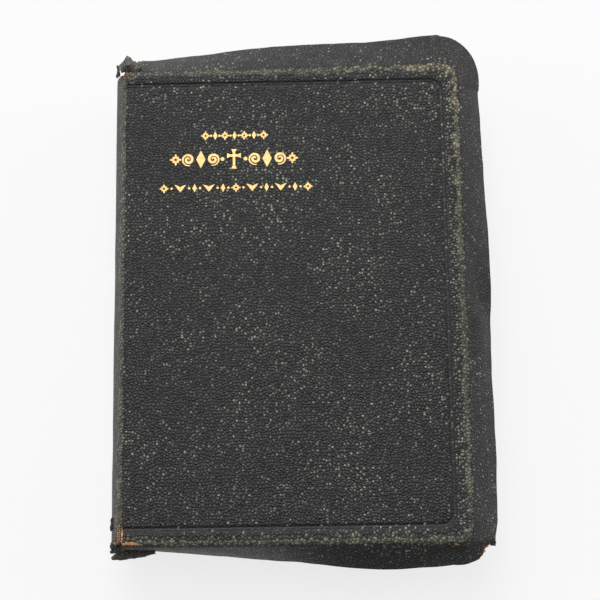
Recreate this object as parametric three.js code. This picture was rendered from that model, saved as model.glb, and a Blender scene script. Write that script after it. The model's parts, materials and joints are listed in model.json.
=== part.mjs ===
// A limp leather bible with overhanging, turned-down cover edges, lying closed on its back cover.
// Built the way a bookbinder makes it: gathered signatures, spine lining, endbands, endpapers,
// thin boards, and one leather cover on each side with a flap along three edges.
// Millimetres, +Z up. X runs from the spine to the fore-edge, Y from tail to head.
import * as THREE from "three";

// Cover, measured from the joint (x = 0) to the crest over the board's edge.
const coverWidth = 124;
const coverHeight = 175;
const coverCornerRadius = 5;
const leatherThickness = 1.0;
const boardThickness = 1.1;
const boardInset = 1.6; // crest of the leather to the board's edge
const glueGap = 0.1; // left between two pieces that are pasted together
const jointGap = 0.3; // the joint line to the cover's spine edge

// Flaps: the leather that overhangs the head, fore-edge and tail of each cover.
const flapLength = 15;
const backFlapLength = 13;
const headSplay = [46, 30]; // degrees below level, at the spine end and at the fore end
const foreSplay = [48, 40]; // at the head end and at the tail end
const tailSplay = [80, 47]; // at the spine end and at the fore end
const backSplay = [72, 72]; // the back flaps stand up nearly straight round the pages

// Text block.
const foreSquare = 5; // how far the cover's crest overhangs the pages at the fore-edge
const headSquare = 3.5; // and at the head and the tail
const pageWidth = coverWidth - foreSquare;
const pageHeight = coverHeight - 2 * headSquare;
const pageCornerRadius = 6;
const blockThickness = 28;
const spineRound = 3.6; // how far the rounded spine stands out at mid-thickness
const signaturesPerGroup = 5;
const signatureGap = 0.05;
const groupGap = 0.3; // between two groups that open like a book
const presentationThickness = 0.4;
const mapThickness = 0.8;
const leafThickness = 0.12;

// Endpapers.
const endpaperThickness = 0.2;
const endpaperMargin = 4; // leather turn-in left showing round a pastedown
const pastedownCornerRadius = 2;
const openingGap = 0.2; // between pieces that part when a cover opens

// Spine.
const liningThickness = 0.4;
const liningGap = 0.15;
const spineLeatherGap = 0.2;
const spineLeatherThickness = 1.0;
const capClearance = 0.4; // end of the spine leather to the inside of the flaps
const shoulderWrap = 1.1; // the spine leather runs on past the block towards each joint
const endbandHeight = 1.6;
const endbandDepth = 2.2;

// Derived heights, from the table up.
const coverStack = leatherThickness + glueGap + boardThickness + glueGap + endpaperThickness;
const blockBottom = coverStack + openingGap + endpaperThickness + openingGap;
const blockTop = blockBottom + blockThickness;
const bookThickness = blockTop + blockBottom;
const midHeight = bookThickness / 2;

// The rounded spine is an arc through both shoulders and the middle of the back.
const halfBlock = blockThickness / 2;
const spineRadius = (halfBlock ** 2 + spineRound ** 2) / (2 * spineRound);
const spineCentreX = spineRadius - spineRound;
const liningInner = spineRadius + liningGap;
const liningOuter = liningInner + liningThickness;
const leatherInner = liningOuter + spineLeatherGap;
const leatherOuter = leatherInner + spineLeatherThickness;
const spineLength = coverHeight - 2 * (leatherThickness + capClearance);

const materials = {
  leather: new THREE.MeshStandardMaterial({ color: 0x3d3d3b, roughness: 0.55, metalness: 0 }),
  board: new THREE.MeshStandardMaterial({ color: 0x8d8272, roughness: 0.95, metalness: 0 }),
  paper: new THREE.MeshStandardMaterial({ color: 0xe4dcc6, roughness: 0.9, metalness: 0 }),
  text: new THREE.MeshStandardMaterial({ color: 0x7c2a24, roughness: 0.8, metalness: 0 }),
  lining: new THREE.MeshStandardMaterial({ color: 0xcfc7b2, roughness: 0.95, metalness: 0 }),
  endband: new THREE.MeshStandardMaterial({ color: 0x5a1f24, roughness: 0.7, metalness: 0 }),
};

// Where the arc of a given radius is at a height.
function arcX(radius, height) {
  return spineCentreX - Math.sqrt(radius ** 2 - (height - midHeight) ** 2);
}

function named(name, geometry, material) {
  const mesh = new THREE.Mesh(geometry, material);
  mesh.name = name;
  return mesh;
}

// A flat sheet or slab: straight at the spine, with rounded corners at the fore-edge.
function slabGeometry(width, height, thickness, radius) {
  const half = height / 2;
  const outline = new THREE.Shape();
  outline.moveTo(0, -half);
  outline.lineTo(width - radius, -half);
  outline.absarc(width - radius, radius - half, radius, -Math.PI / 2, 0, false);
  outline.lineTo(width, half - radius);
  outline.absarc(width - radius, half - radius, radius, 0, Math.PI / 2, false);
  outline.lineTo(0, half);
  outline.closePath();
  return new THREE.ExtrudeGeometry(outline, { depth: thickness, bevelEnabled: false, curveSegments: 6 });
}

function slab(name, material, x, z, width, height, thickness, radius) {
  const mesh = named(name, slabGeometry(width, height, thickness, radius), material);
  mesh.position.set(x, 0, z);
  return mesh;
}

// A band that follows the rounded spine between two radii and two heights, and runs along Y.
function spineBand(name, material, inner, outer, lowZ, highZ, length, centreY) {
  const steps = 6;
  const band = new THREE.Shape();
  const point = (radius, i) => {
    const z = lowZ + ((highZ - lowZ) * i) / steps;
    return [arcX(radius, z), z];
  };
  band.moveTo(...point(outer, 0));
  for (let i = 1; i <= steps; i += 1) band.lineTo(...point(outer, i));
  for (let i = steps; i >= 0; i -= 1) band.lineTo(...point(inner, i));
  band.closePath();
  const geometry = new THREE.ExtrudeGeometry(band, { depth: length, bevelEnabled: false });
  const mesh = named(name, geometry, material);
  mesh.rotation.x = Math.PI / 2;
  mesh.position.y = centreY + length / 2;
  return mesh;
}

const mix = (pair, t) => pair[0] + (pair[1] - pair[0]) * t;

// The crest of a cover: points, outward directions and flap splay, from the head of the spine
// round the fore-edge to the tail of the spine.
function crestLine(head, fore, tail) {
  const straightSteps = 10;
  const cornerSteps = 6;
  const half = coverHeight / 2;
  const reach = coverWidth - coverCornerRadius;
  const rise = half - coverCornerRadius;
  const line = [];
  const add = (x, y, angle, splay) => line.push({ x, y, angle, splay });
  for (let i = 0; i <= straightSteps; i += 1) {
    const t = i / straightSteps;
    add(jointGap + (reach - jointGap) * t, half, Math.PI / 2, mix(head, t));
  }
  for (let i = 1; i <= cornerSteps; i += 1) {
    const t = i / cornerSteps;
    const angle = (Math.PI / 2) * (1 - t);
    const x = reach + coverCornerRadius * Math.cos(angle);
    add(x, rise + coverCornerRadius * Math.sin(angle), angle, mix([head[1], fore[0]], t));
  }
  for (let i = 1; i <= straightSteps; i += 1) {
    const t = i / straightSteps;
    add(coverWidth, rise * (1 - 2 * t), 0, mix(fore, t));
  }
  for (let i = 1; i <= cornerSteps; i += 1) {
    const t = i / cornerSteps;
    const angle = (-Math.PI / 2) * t;
    const x = reach + coverCornerRadius * Math.cos(angle);
    add(x, -rise + coverCornerRadius * Math.sin(angle), angle, mix([fore[1], tail[1]], t));
  }
  for (let i = 1; i <= straightSteps; i += 1) {
    const t = i / straightSteps;
    add(reach + (jointGap - reach) * t, -half, -Math.PI / 2, mix([tail[1], tail[0]], t));
  }
  return line;
}

// One cover's leather: a flat panel over the board that rounds over at the crest into flaps.
// side is 1 for the front cover, which faces up, and -1 for the back cover, which faces down.
function coverLeather(name, side, length, crest) {
  const outerZ = side > 0 ? bookThickness : 0;
  const steps = [0.14, 0.36, 0.5]; // shares of the flap's length between its rows
  const turns = [0.55, 0.95, 1.1]; // share of the splay that each stretch has reached
  const rowCount = steps.length + 1;
  const points = [];
  const put = (x, y, drop) => points.push(x, y, outerZ - side * drop);
  for (const inner of [0, leatherThickness])
    for (const c of crest) {
      const nx = Math.cos(c.angle);
      const ny = Math.sin(c.angle);
      let out = 0;
      let drop = 0;
      put(c.x - nx * inner * 0.5, c.y - ny * inner * 0.5, inner);
      for (let row = 0; row < steps.length; row += 1) {
        const slope = THREE.MathUtils.degToRad(Math.min(c.splay * turns[row], 88));
        out += steps[row] * length * Math.cos(slope);
        drop += steps[row] * length * Math.sin(slope);
        const level = out - inner * Math.sin(slope);
        put(c.x + nx * level, c.y + ny * level, drop + inner * Math.cos(slope));
      }
    }
  const layer = crest.length * rowCount;
  const centre = [2 * layer, 2 * layer + 1];
  put(jointGap, 0, 0);
  put(jointGap, 0, leatherThickness);
  const faces = [];
  const tri = (a, b, c) => (side > 0 ? faces.push(a, b, c) : faces.push(a, c, b));
  const quad = (a, b, c, d) => {
    tri(a, b, c);
    tri(a, c, d);
  };
  const at = (skin, i, row) => skin * layer + i * rowCount + row;
  const last = crest.length - 1;
  for (let i = 0; i < last; i += 1) {
    tri(centre[0], at(0, i + 1, 0), at(0, i, 0));
    tri(centre[1], at(1, i, 0), at(1, i + 1, 0));
    for (let row = 0; row < rowCount - 1; row += 1) {
      quad(at(0, i, row), at(0, i + 1, row), at(0, i + 1, row + 1), at(0, i, row + 1));
      quad(at(1, i, row), at(1, i, row + 1), at(1, i + 1, row + 1), at(1, i + 1, row));
    }
    const edge = rowCount - 1;
    quad(at(0, i, edge), at(0, i + 1, edge), at(1, i + 1, edge), at(1, i, edge));
  }
  for (let row = 0; row < rowCount - 1; row += 1) {
    quad(at(0, 0, row), at(0, 0, row + 1), at(1, 0, row + 1), at(1, 0, row));
    quad(at(0, last, row), at(1, last, row), at(1, last, row + 1), at(0, last, row + 1));
  }
  quad(centre[0], at(0, 0, 0), at(1, 0, 0), centre[1]);
  quad(centre[0], centre[1], at(1, last, 0), at(0, last, 0));
  const geometry = new THREE.BufferGeometry();
  geometry.setAttribute("position", new THREE.Float32BufferAttribute(points, 3));
  geometry.setIndex(faces);
  geometry.computeVertexNormals();
  return named(name, geometry, materials.leather);
}

// A cover: leather outside, a thin board pasted in, and the endpaper pasted over it.
function cover(prefix, side, length, crest) {
  const group = new THREE.Group();
  group.add(coverLeather(`${prefix}_cover_leather`, side, length, crest));
  const place = (depth, thickness) => (side > 0 ? bookThickness - depth - thickness : depth);
  const boardDepth = leatherThickness + glueGap;
  const boardWidth = coverWidth - boardInset - jointGap;
  const boardHeight = coverHeight - 2 * boardInset;
  const boardZ = place(boardDepth, boardThickness);
  const boardRadius = coverCornerRadius - boardInset / 2;
  group.add(
    slab(
      `${prefix}_board`, materials.board, jointGap, boardZ,
      boardWidth, boardHeight, boardThickness, boardRadius,
    ),
  );
  const pasteZ = place(boardDepth + boardThickness + glueGap, endpaperThickness);
  const pasteWidth = boardWidth - endpaperMargin;
  const pasteHeight = boardHeight - 2 * endpaperMargin;
  group.add(
    slab(
      `${prefix}_pastedown`, materials.paper, jointGap, pasteZ,
      pasteWidth, pasteHeight, endpaperThickness, pastedownCornerRadius,
    ),
  );
  return group;
}

// Layers of the text block from the back cover up: each group opens like a book from the next.
const groupNames = ["rear", "rear_middle", "front_middle", "front"];
const lastGroup = groupNames.length - 1;
const readingSplit = groupNames.length / 2;
const spare = groupNames.length * groupGap + leafThickness;
const withinGaps = groupNames.length * (signaturesPerGroup - 1) * signatureGap + 2 * signatureGap;
const sewnThickness = blockThickness - presentationThickness - mapThickness - spare - withinGaps;
const signatureThickness = sewnThickness / (groupNames.length * signaturesPerGroup);

// A leaf or a signature of the block, set back so that its fold stays inside the rounded spine.
function pages(name, material, z, thickness) {
  const fold = Math.max(arcX(spineRadius, z), arcX(spineRadius, z + thickness));
  return slab(name, material, fold, z, pageWidth, pageHeight, thickness, pageCornerRadius);
}

function textBlock() {
  const group = new THREE.Group();
  let z = blockBottom;
  let count = 0;
  groupNames.forEach((groupName, index) => {
    const low = z;
    if (index === 0) {
      group.add(pages("map_section", materials.text, z, mapThickness));
      z += mapThickness + signatureGap;
    }
    for (let i = 0; i < signaturesPerGroup; i += 1) {
      count += 1;
      group.add(pages(`signature_${String(count).padStart(2, "0")}`, materials.text, z, signatureThickness));
      z += signatureThickness + (i < signaturesPerGroup - 1 ? signatureGap : 0);
    }
    if (index === lastGroup) {
      z += signatureGap;
      group.add(pages("presentation_section", materials.text, z, presentationThickness));
      z += presentationThickness;
    }
    group.add(...spinePieces(groupName, low, z));
    z += groupGap;
    if (index === readingSplit - 1) {
      group.add(pages("turning_leaf", materials.paper, z, leafThickness));
      z += leafThickness + groupGap;
    }
  });
  return group;
}

// What holds a group together at the back: cloth lining, endbands, and the covering leather.
function spinePieces(groupName, low, high) {
  const endbandY = pageHeight / 2 + endbandHeight / 2 + signatureGap;
  const bandInner = spineRadius - endbandDepth;
  const wrapLow = low > blockBottom ? low : low - shoulderWrap;
  const wrapHigh = high < blockTop - signatureGap ? high : high + shoulderWrap;
  const band = (piece, material, radii, heights, length, centreY) =>
    spineBand(`${groupName}_${piece}`, material, ...radii, ...heights, length, centreY);
  return [
    band("spine_lining", materials.lining, [liningInner, liningOuter], [low, high], pageHeight, 0),
    band(
      "spine_leather", materials.leather, [leatherInner, leatherOuter], [wrapLow, wrapHigh],
      spineLength, 0,
    ),
    band("headband", materials.endband, [bandInner, spineRadius], [low, high], endbandHeight, endbandY),
    band("tailband", materials.endband, [bandInner, spineRadius], [low, high], endbandHeight, -endbandY),
  ];
}

function flyleaves() {
  const group = new THREE.Group();
  const backZ = blockBottom - openingGap - endpaperThickness;
  const frontZ = blockTop + openingGap;
  const size = [pageWidth - jointGap, pageHeight, endpaperThickness, pageCornerRadius];
  group.add(slab("back_flyleaf", materials.paper, jointGap, backZ, ...size));
  group.add(slab("front_flyleaf", materials.paper, jointGap, frontZ, ...size));
  return group;
}

const book = new THREE.Group();
book.add(cover("back", -1, backFlapLength, crestLine(backSplay, backSplay, backSplay)));
book.add(textBlock());
book.add(flyleaves());
book.add(cover("front", 1, flapLength, crestLine(headSplay, foreSplay, tailSplay)));

// The origin is under the middle of the whole book.
const extent = new THREE.Box3().setFromObject(book);
const centre = extent.getCenter(new THREE.Vector3());
book.position.set(-centre.x, -centre.y, 0);
const bible = new THREE.Group();
bible.add(book);

export default bible;
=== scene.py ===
"""A worn black bible in limp leather: its looks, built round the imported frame.

Pieces are laid out in millimetres from the book's own lines (x from the front joint, y from the
middle of the cover, z from the table). Layout.place turns them into the frame's metres.
"""
import json
import logging
import math
import random
from dataclasses import dataclass, field, replace
from enum import Enum
from typing import Optional, Sequence, Union

import bpy
import numpy as np
from mathutils import Matrix, Vector, noise


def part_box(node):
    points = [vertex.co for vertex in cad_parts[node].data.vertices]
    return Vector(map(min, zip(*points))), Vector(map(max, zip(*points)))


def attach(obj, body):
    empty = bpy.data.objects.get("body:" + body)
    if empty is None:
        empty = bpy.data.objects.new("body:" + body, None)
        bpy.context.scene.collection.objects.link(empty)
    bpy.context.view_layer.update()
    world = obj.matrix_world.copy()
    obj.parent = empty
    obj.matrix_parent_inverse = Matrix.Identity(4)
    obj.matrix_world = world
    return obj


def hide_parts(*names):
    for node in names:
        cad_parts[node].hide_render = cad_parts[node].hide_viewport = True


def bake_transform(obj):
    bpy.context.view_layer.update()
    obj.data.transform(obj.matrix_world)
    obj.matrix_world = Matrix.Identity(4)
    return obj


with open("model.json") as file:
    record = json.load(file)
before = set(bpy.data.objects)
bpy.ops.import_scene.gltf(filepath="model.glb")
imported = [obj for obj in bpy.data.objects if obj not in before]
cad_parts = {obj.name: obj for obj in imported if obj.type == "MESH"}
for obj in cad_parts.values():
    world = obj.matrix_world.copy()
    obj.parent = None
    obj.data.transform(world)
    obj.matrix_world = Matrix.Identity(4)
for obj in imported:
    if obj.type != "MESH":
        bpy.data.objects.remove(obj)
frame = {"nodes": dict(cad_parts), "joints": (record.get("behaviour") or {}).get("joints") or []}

MM = 0.001
LOG = logging.getLogger("bible")
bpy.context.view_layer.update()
SEED = 7
TINY = 1e-9
SHARP_DEGREES = 58
QUARTER = math.pi / 2
SPACING_SAMPLES = 4000

Number = Union[float, "Signal"]
Colour = tuple[float, float, float]
Face = tuple[int, ...]
Span = tuple[float, float]  # two numbers that belong together: a start and an end, or a place


# ---- Shader maths ----


class Signal:
    """A shader socket that Python expressions work on: each operator adds one Math node."""

    def __init__(self, tree: bpy.types.NodeTree, socket: bpy.types.NodeSocket) -> None:
        """Wraps a socket of a node tree."""
        self.tree = tree
        self.socket = socket

    def math(self, operation: str, *values: Number) -> "Signal":
        """Adds a Math node.

        Args:
            operation: the node's operation.
            values: what its inputs take, links or numbers.

        Returns:
            The node's result.
        """
        node = self.tree.nodes.new("ShaderNodeMath")
        node.operation = operation
        for slot, value in zip(node.inputs, values):
            if isinstance(value, Signal):
                self.tree.links.new(value.socket, slot)
            else:
                slot.default_value = float(value)
        return Signal(self.tree, node.outputs[0])

    def __add__(self, other: Number) -> "Signal":
        """Returns self + other."""
        return self.math("ADD", self, other)

    def __radd__(self, other: Number) -> "Signal":
        """Returns other + self."""
        return self.math("ADD", other, self)

    def __sub__(self, other: Number) -> "Signal":
        """Returns self - other."""
        return self.math("SUBTRACT", self, other)

    def __rsub__(self, other: Number) -> "Signal":
        """Returns other - self."""
        return self.math("SUBTRACT", other, self)

    def __mul__(self, other: Number) -> "Signal":
        """Returns self * other."""
        return self.math("MULTIPLY", self, other)

    def __abs__(self) -> "Signal":
        """Returns the size of self without its sign."""
        return self.math("ABSOLUTE", self)

    def __pow__(self, other: Number) -> "Signal":
        """Returns self to a power."""
        return self.math("POWER", self, other)

    def greatest(self, other: Number) -> "Signal":
        """Returns the larger of self and other."""
        return self.math("MAXIMUM", self, other)

    def sine(self) -> "Signal":
        """Returns the sine of self."""
        return self.math("SINE", self)

    def clamped(self) -> "Signal":
        """Returns self kept between 0 and 1."""
        return self.math("MINIMUM", self.math("MAXIMUM", self, 0.0), 1.0)

    def between(self, low: float, high: float) -> "Signal":
        """Returns 0 at low, 1 at high, and a straight line in between."""
        return ((self - low) * (1.0 / (high - low))).clamped()

    def peak(self, centre: float, width: float) -> "Signal":
        """Returns a bell that is 1 at centre and falls away over width."""
        offset = (self - centre) * (1.0 / width)
        return self.math("EXPONENT", offset * offset * -1.0)


class Recipe:
    """One material's node tree while it is being written."""

    def __init__(self, name: str) -> None:
        """Starts an empty material of that name."""
        self.material = bpy.data.materials.new(name)
        self.material.use_nodes = True
        self.tree = self.material.node_tree
        self.tree.nodes.clear()

    def node(
        self, kind: str, settings: Optional[dict] = None, inputs: Optional[dict] = None
    ) -> bpy.types.Node:
        """Adds any node.

        Args:
            kind: the node's type.
            settings: its properties, set first.
            inputs: socket names or indexes, each with a value, a Signal or a node's socket.

        Returns:
            The node.
        """
        node = self.tree.nodes.new(kind)
        for key, value in (settings or {}).items():
            setattr(node, key, value)
        for key, value in (inputs or {}).items():
            slot = node.inputs[key]
            if isinstance(value, Signal):
                self.tree.links.new(value.socket, slot)
            elif isinstance(value, bpy.types.NodeSocket):
                self.tree.links.new(value, slot)
            else:
                slot.default_value = value
        return node

    def out(self, node: bpy.types.Node, name: Union[str, int] = 0) -> Signal:
        """Returns one of a node's outputs."""
        return Signal(self.tree, node.outputs[name])

    def attribute(self, name: str) -> bpy.types.Node:
        """Returns the node that reads a mesh attribute."""
        return self.node("ShaderNodeAttribute", {"attribute_name": name})

    def flat(self) -> tuple[bpy.types.NodeSocket, Signal, Signal, Signal]:
        """Returns the piece's flat coordinates in millimetres: the vector, and its three parts."""
        source = self.attribute("flat").outputs["Vector"]
        parts = self.node("ShaderNodeSeparateXYZ", inputs={0: source})
        return source, self.out(parts, 0), self.out(parts, 1), self.out(parts, 2)

    def place(self) -> bpy.types.NodeSocket:
        """Returns the place on the piece, in metres."""
        return self.node("ShaderNodeTexCoord").outputs["Object"]

    def cells(self, vector: bpy.types.NodeSocket, scale: float, settings: dict) -> bpy.types.Node:
        """Returns a cell pattern, at so many cells for each unit of the vector."""
        return self.node("ShaderNodeTexVoronoi", settings, {"Vector": vector, "Scale": scale})

    def noise(
        self, vector: bpy.types.NodeSocket, scale: float, detail: float = 3.0, rough: float = 0.5
    ) -> Signal:
        """Returns cloudy noise, 0 to 1, at so many features for each unit of the vector."""
        inputs = {"Vector": vector, "Scale": scale, "Detail": detail, "Roughness": rough}
        return self.out(self.node("ShaderNodeTexNoise", inputs=inputs), 0)

    def mix(self, under: Union[Colour, Signal], over: Union[Colour, Signal], factor: Signal) -> Signal:
        """Returns one colour laid over another by a factor."""
        node = self.node("ShaderNodeMix", {"data_type": "RGBA"})
        self.tree.links.new(factor.socket, node.inputs[0])
        for slot, value in ((node.inputs[6], under), (node.inputs[7], over)):
            if isinstance(value, Signal):
                self.tree.links.new(value.socket, slot)
            else:
                slot.default_value = (*value, 1.0)
        return Signal(self.tree, node.outputs[2])

    def bump(self, height: Signal, depth_mm: float, strength: float = 1.0) -> Signal:
        """Returns the normal of a surface with that relief."""
        inputs = {"Height": height, "Distance": depth_mm * MM, "Strength": strength}
        return self.out(self.node("ShaderNodeBump", inputs=inputs), "Normal")

    def finish(self, inputs: dict) -> bpy.types.Material:
        """Ends the tree in a Principled shader.

        Args:
            inputs: the shader's socket names, each with a number, a colour or a Signal.

        Returns:
            The material.
        """
        fixed = {k: ((*v, 1.0) if isinstance(v, tuple) and len(v) == 3 else v) for k, v in inputs.items()}
        shader = self.node("ShaderNodeBsdfPrincipled", inputs=fixed)
        self.node("ShaderNodeOutputMaterial", inputs={"Surface": shader.outputs[0]})
        return self.material


# ---- Blind tooling ----


def step_between(value: np.ndarray, low: float, high: float) -> np.ndarray:
    """Returns a smooth rise from 0 at low to 1 at high."""
    t = np.clip((value - low) / (high - low), 0.0, 1.0)
    return t * t * (3 - 2 * t)


@dataclass(frozen=True)
class Tooling:
    """The double blind line pressed round the panel, measured from the joint and the middle."""

    fore: float = 118.0
    head: float = 82.5
    tail: float = 82.7
    spine: float = -30.0
    corner: float = 4.5
    lines: Span = (-0.45, 0.65)  # where the two lines run, either side of the panel's outline
    line_width: float = 0.4  # of the darkened line
    groove: float = 0.6  # of the line darkened as painted shade in its groove
    depth: float = 0.34
    border_rise: float = 0.3  # how far the border stands above the panel
    rise_span: Span = (-0.2, 1.2)
    flattened: Span = (-1.0, 1.2)  # the strip whose pebbles are pressed flat
    fading: float = 0.3

    @property
    def centre(self) -> Span:
        """Returns the middle of the panel."""
        return (self.fore + self.spine) / 2, (self.head - self.tail) / 2

    @property
    def straight(self) -> Span:
        """Returns half the length of the line's straight sides, across and along the book."""
        return (self.fore - self.spine) / 2 - self.corner, (self.head + self.tail) / 2 - self.corner

    def distance(self, x: np.ndarray, y: np.ndarray) -> np.ndarray:
        """Returns how far points lie outside the line, negative inside."""
        dx = np.abs(x - self.centre[0]) - self.straight[0]
        dy = np.abs(y - self.centre[1]) - self.straight[1]
        outside = np.hypot(np.maximum(dx, 0), np.maximum(dy, 0))
        return outside + np.minimum(np.maximum(dx, dy), 0) - self.corner

    def relief(self, x: np.ndarray, y: np.ndarray) -> np.ndarray:
        """Returns the height of the leather's face about its level."""
        d = self.distance(x, y)
        groove = sum(np.exp(-(((d - line) / self.groove) ** 2)) for line in self.lines)
        return self.border_rise * step_between(d, *self.rise_span) - self.depth * groove

    def marks(self, p: Signal, q: Signal) -> tuple[Signal, Signal]:
        """Returns two masks for a shader: the pressed lines, darkened as painted shade, and the leather
        flattened round them.
        """
        dx = abs(p - self.centre[0]) - self.straight[0]
        dy = abs(q - self.centre[1]) - self.straight[1]
        outside = (dx.greatest(0.0) ** 2 + dy.greatest(0.0) ** 2) ** 0.5
        inside = (dx.greatest(dy) * -1.0).greatest(0.0) * -1.0
        d = outside + inside - self.corner
        lines = d.peak(self.lines[0], self.line_width) + d.peak(self.lines[1], self.line_width)
        low, high = self.flattened
        flattened = d.between(low, low + self.fading) * d.between(high, high - self.fading)
        return lines.clamped(), flattened


# ---- Finishes ----


@dataclass(frozen=True)
class LeatherFinish:
    """Black pebble-grained leather, rubbed and flecked where hands and tables wear it, with painted
    highlights and glints on its pebble tops and painted shade in its valleys and pressed lines.
    """

    name: str
    # painted shade: the dark colour laid in the grain's valleys and along the pressed lines
    valley_shade: Colour = (0.004, 0.004, 0.0042)
    dark: Colour = (0.0085, 0.0095, 0.0085)
    # the pebble tops' colour: each pebble's own tone, with a painted highlight towards its middle
    soft: Colour = (0.11, 0.116, 0.1)
    rubbed: Colour = (0.2, 0.198, 0.145)
    bare: Colour = (0.5, 0.45, 0.26)
    # wear flecks, and painted glints on the pebble tops
    fleck: Colour = (0.4, 0.42, 0.32)
    torn_edge: Colour = (0.06, 0.035, 0.02)
    suede: Colour = (0.48, 0.17, 0.055)
    suede_pale: Colour = (0.72, 0.46, 0.25)
    pressed: Colour = (0.022, 0.0225, 0.021)
    pebble_mm: float = 1.1
    fleck_share: float = 0.3
    crest_wear: float = 1.12
    joint_wear: float = 0.75
    overall_wear: float = 0.0
    grain_depth_mm: float = 0.27
    bare_corner: Span = (120.0, 84.0)  # the corner that is worn to the tan
    tooling: Optional[Tooling] = None

    # How fine the patterns are: features in a millimetre.
    SWAY, PORES, CLOUD, PATCH, SPECK = 0.7, 3.2, 0.04, 0.17, 1.1
    SWAY_MM = 0.9
    VALLEY_SHARE = 0.34  # how far the valley reaches into a pebble
    FACE = (-0.5, -1.5)  # where the flap's crest gives way to the panel
    GLINT_STRIP = (119.0, 119.8, 122.0, 122.8)  # the strip along the fore line where the pebble tops get painted highlights
    BARE_REACH = (30.0, 42.0)
    SHADED_TAIL, SHADED_FORE = (-87.5, -90.0), (50.0, 75.0)
    TORN_BLUR = 0.12
    TORN_RIM = (-0.24, -0.46)

    def material(self) -> bpy.types.Material:
        """Returns the leather's material."""
        r = Recipe(self.name)
        flat, p, q, s = r.flat()
        edge, near, chance, tint = self._pebbles(r, flat)
        pebble = edge.between(0.0, self.VALLEY_SHARE) ** 0.8
        dome = near.between(0.5, 0.08)
        pores = r.noise(flat, self.PORES, 3.0, 0.6)
        cloud = r.noise(flat, self.CLOUD, 4.0, 0.55)
        patch = r.noise(flat, self.PATCH, 3.0, 0.6)
        speck = r.noise(flat, self.SPECK, 2.0, 0.6)
        rub = self._rub(p, q, s, patch, speck, chance) * (dome * 0.7 + 0.3) * (tint + 0.3)
        many = (cloud - 0.5) * 1.2 + self.fleck_share * 0.3 + rub * 0.2
        likely = many.between(-0.15, 0.4) * 0.34 + 0.035
        # wear flecks and painted glints: light specks laid on the pebble tops
        flecks = ((chance + likely - 1.0) * 5.0).clamped() * dome * (tint * 0.6 + 0.4)
        # painted highlight: pebble tops lighter towards their middles, mixed with each pebble's own tone
        pebble_tone_and_highlight = (cloud * 0.5 + tint - 0.46).clamped() * (dome * 0.9 + 0.1)
        under = r.mix(self.dark, self.soft, pebble_tone_and_highlight)
        raised = pebble
        if self.tooling:
            lines, flattened = self.tooling.marks(p, q)
            face = s.between(*self.FACE)
            # the pressed lines lower the relief and take the valley colour: painted shade in the grooves
            raised = (pebble + (0.8 - pebble) * (flattened * face)) * (1.0 - lines * face)
            under = r.mix(under, self.pressed, flattened * face)
            # painted highlights: more glints on the pebble tops along the strip outside the fore line
            start, full, fading, end = self.GLINT_STRIP
            glint_strip = p.between(start, full) * p.between(end, fading) * face * chance.between(0.45, 0.6)
            flecks = flecks.greatest(glint_strip * dome * (tint * 0.5 + 0.3))
        # painted shade in the valleys and pressed lines, then the wear flecks and painted glints
        flecked = r.mix(r.mix(self.valley_shade, under, raised), self.fleck, flecks)
        middles = zip((p, q), self.bare_corner, self.BARE_REACH)
        across, along = (place.peak(middle, reach) for place, middle, reach in middles)
        bareness = across * along
        bared = (bareness * 0.9 + patch * 0.5 - 0.2).clamped() * (chance * 0.6 + 0.3)
        worn = r.mix(flecked, r.mix(self.rubbed, self.bare, bared), rub)
        tear = r.out(r.attribute("tear"), "Fac")
        torn = (tear + (speck - 0.5) * 0.9).between(self.TORN_BLUR, -self.TORN_BLUR)
        fresh = r.mix(self.suede, self.suede_pale, speck.between(0.4, 0.62))
        colour = r.mix(worn, r.mix(self.torn_edge, fresh, tear.between(*self.TORN_RIM)), torn)
        shaded = q.between(*self.SHADED_TAIL) * p.between(*self.SHADED_FORE)
        scuffed = rub * 0.24 + (patch - 0.5) * 0.16 + torn * 0.3 + shaded * 0.3
        rough = (1.0 - raised) * 0.24 + scuffed + 0.44
        relief = raised * 0.6 + dome * 0.45 + pores * 0.25 + torn * (speck * 0.8 - 1.0)
        normal = r.bump(relief, self.grain_depth_mm)
        return r.finish({"Base Color": colour, "Roughness": rough.clamped(), "Normal": normal, "IOR": 1.5})

    def _pebbles(self, r: Recipe, flat: bpy.types.NodeSocket) -> tuple[Signal, Signal, Signal, Signal]:
        """Returns each pebble's distance from its edge and from its middle, and two chances of its own."""
        wobble = r.node("ShaderNodeTexNoise", inputs={"Vector": flat, "Scale": self.SWAY, "Detail": 2.0})
        sway = {0: wobble.outputs["Color"], "Scale": self.SWAY_MM}
        shift = r.node("ShaderNodeVectorMath", {"operation": "SCALE"}, sway).outputs[0]
        warped = r.node("ShaderNodeVectorMath", {"operation": "ADD"}, {0: flat, 1: shift}).outputs[0]
        scale = 1.0 / self.pebble_mm
        edge = r.cells(warped, scale, {"voronoi_dimensions": "2D", "feature": "DISTANCE_TO_EDGE"})
        cell = r.cells(warped, scale, {"voronoi_dimensions": "2D"})
        tone = r.node("ShaderNodeSeparateColor", inputs={0: cell.outputs["Color"]})
        return r.out(edge), r.out(cell, "Distance"), r.out(tone, 0), r.out(tone, 1)

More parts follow.
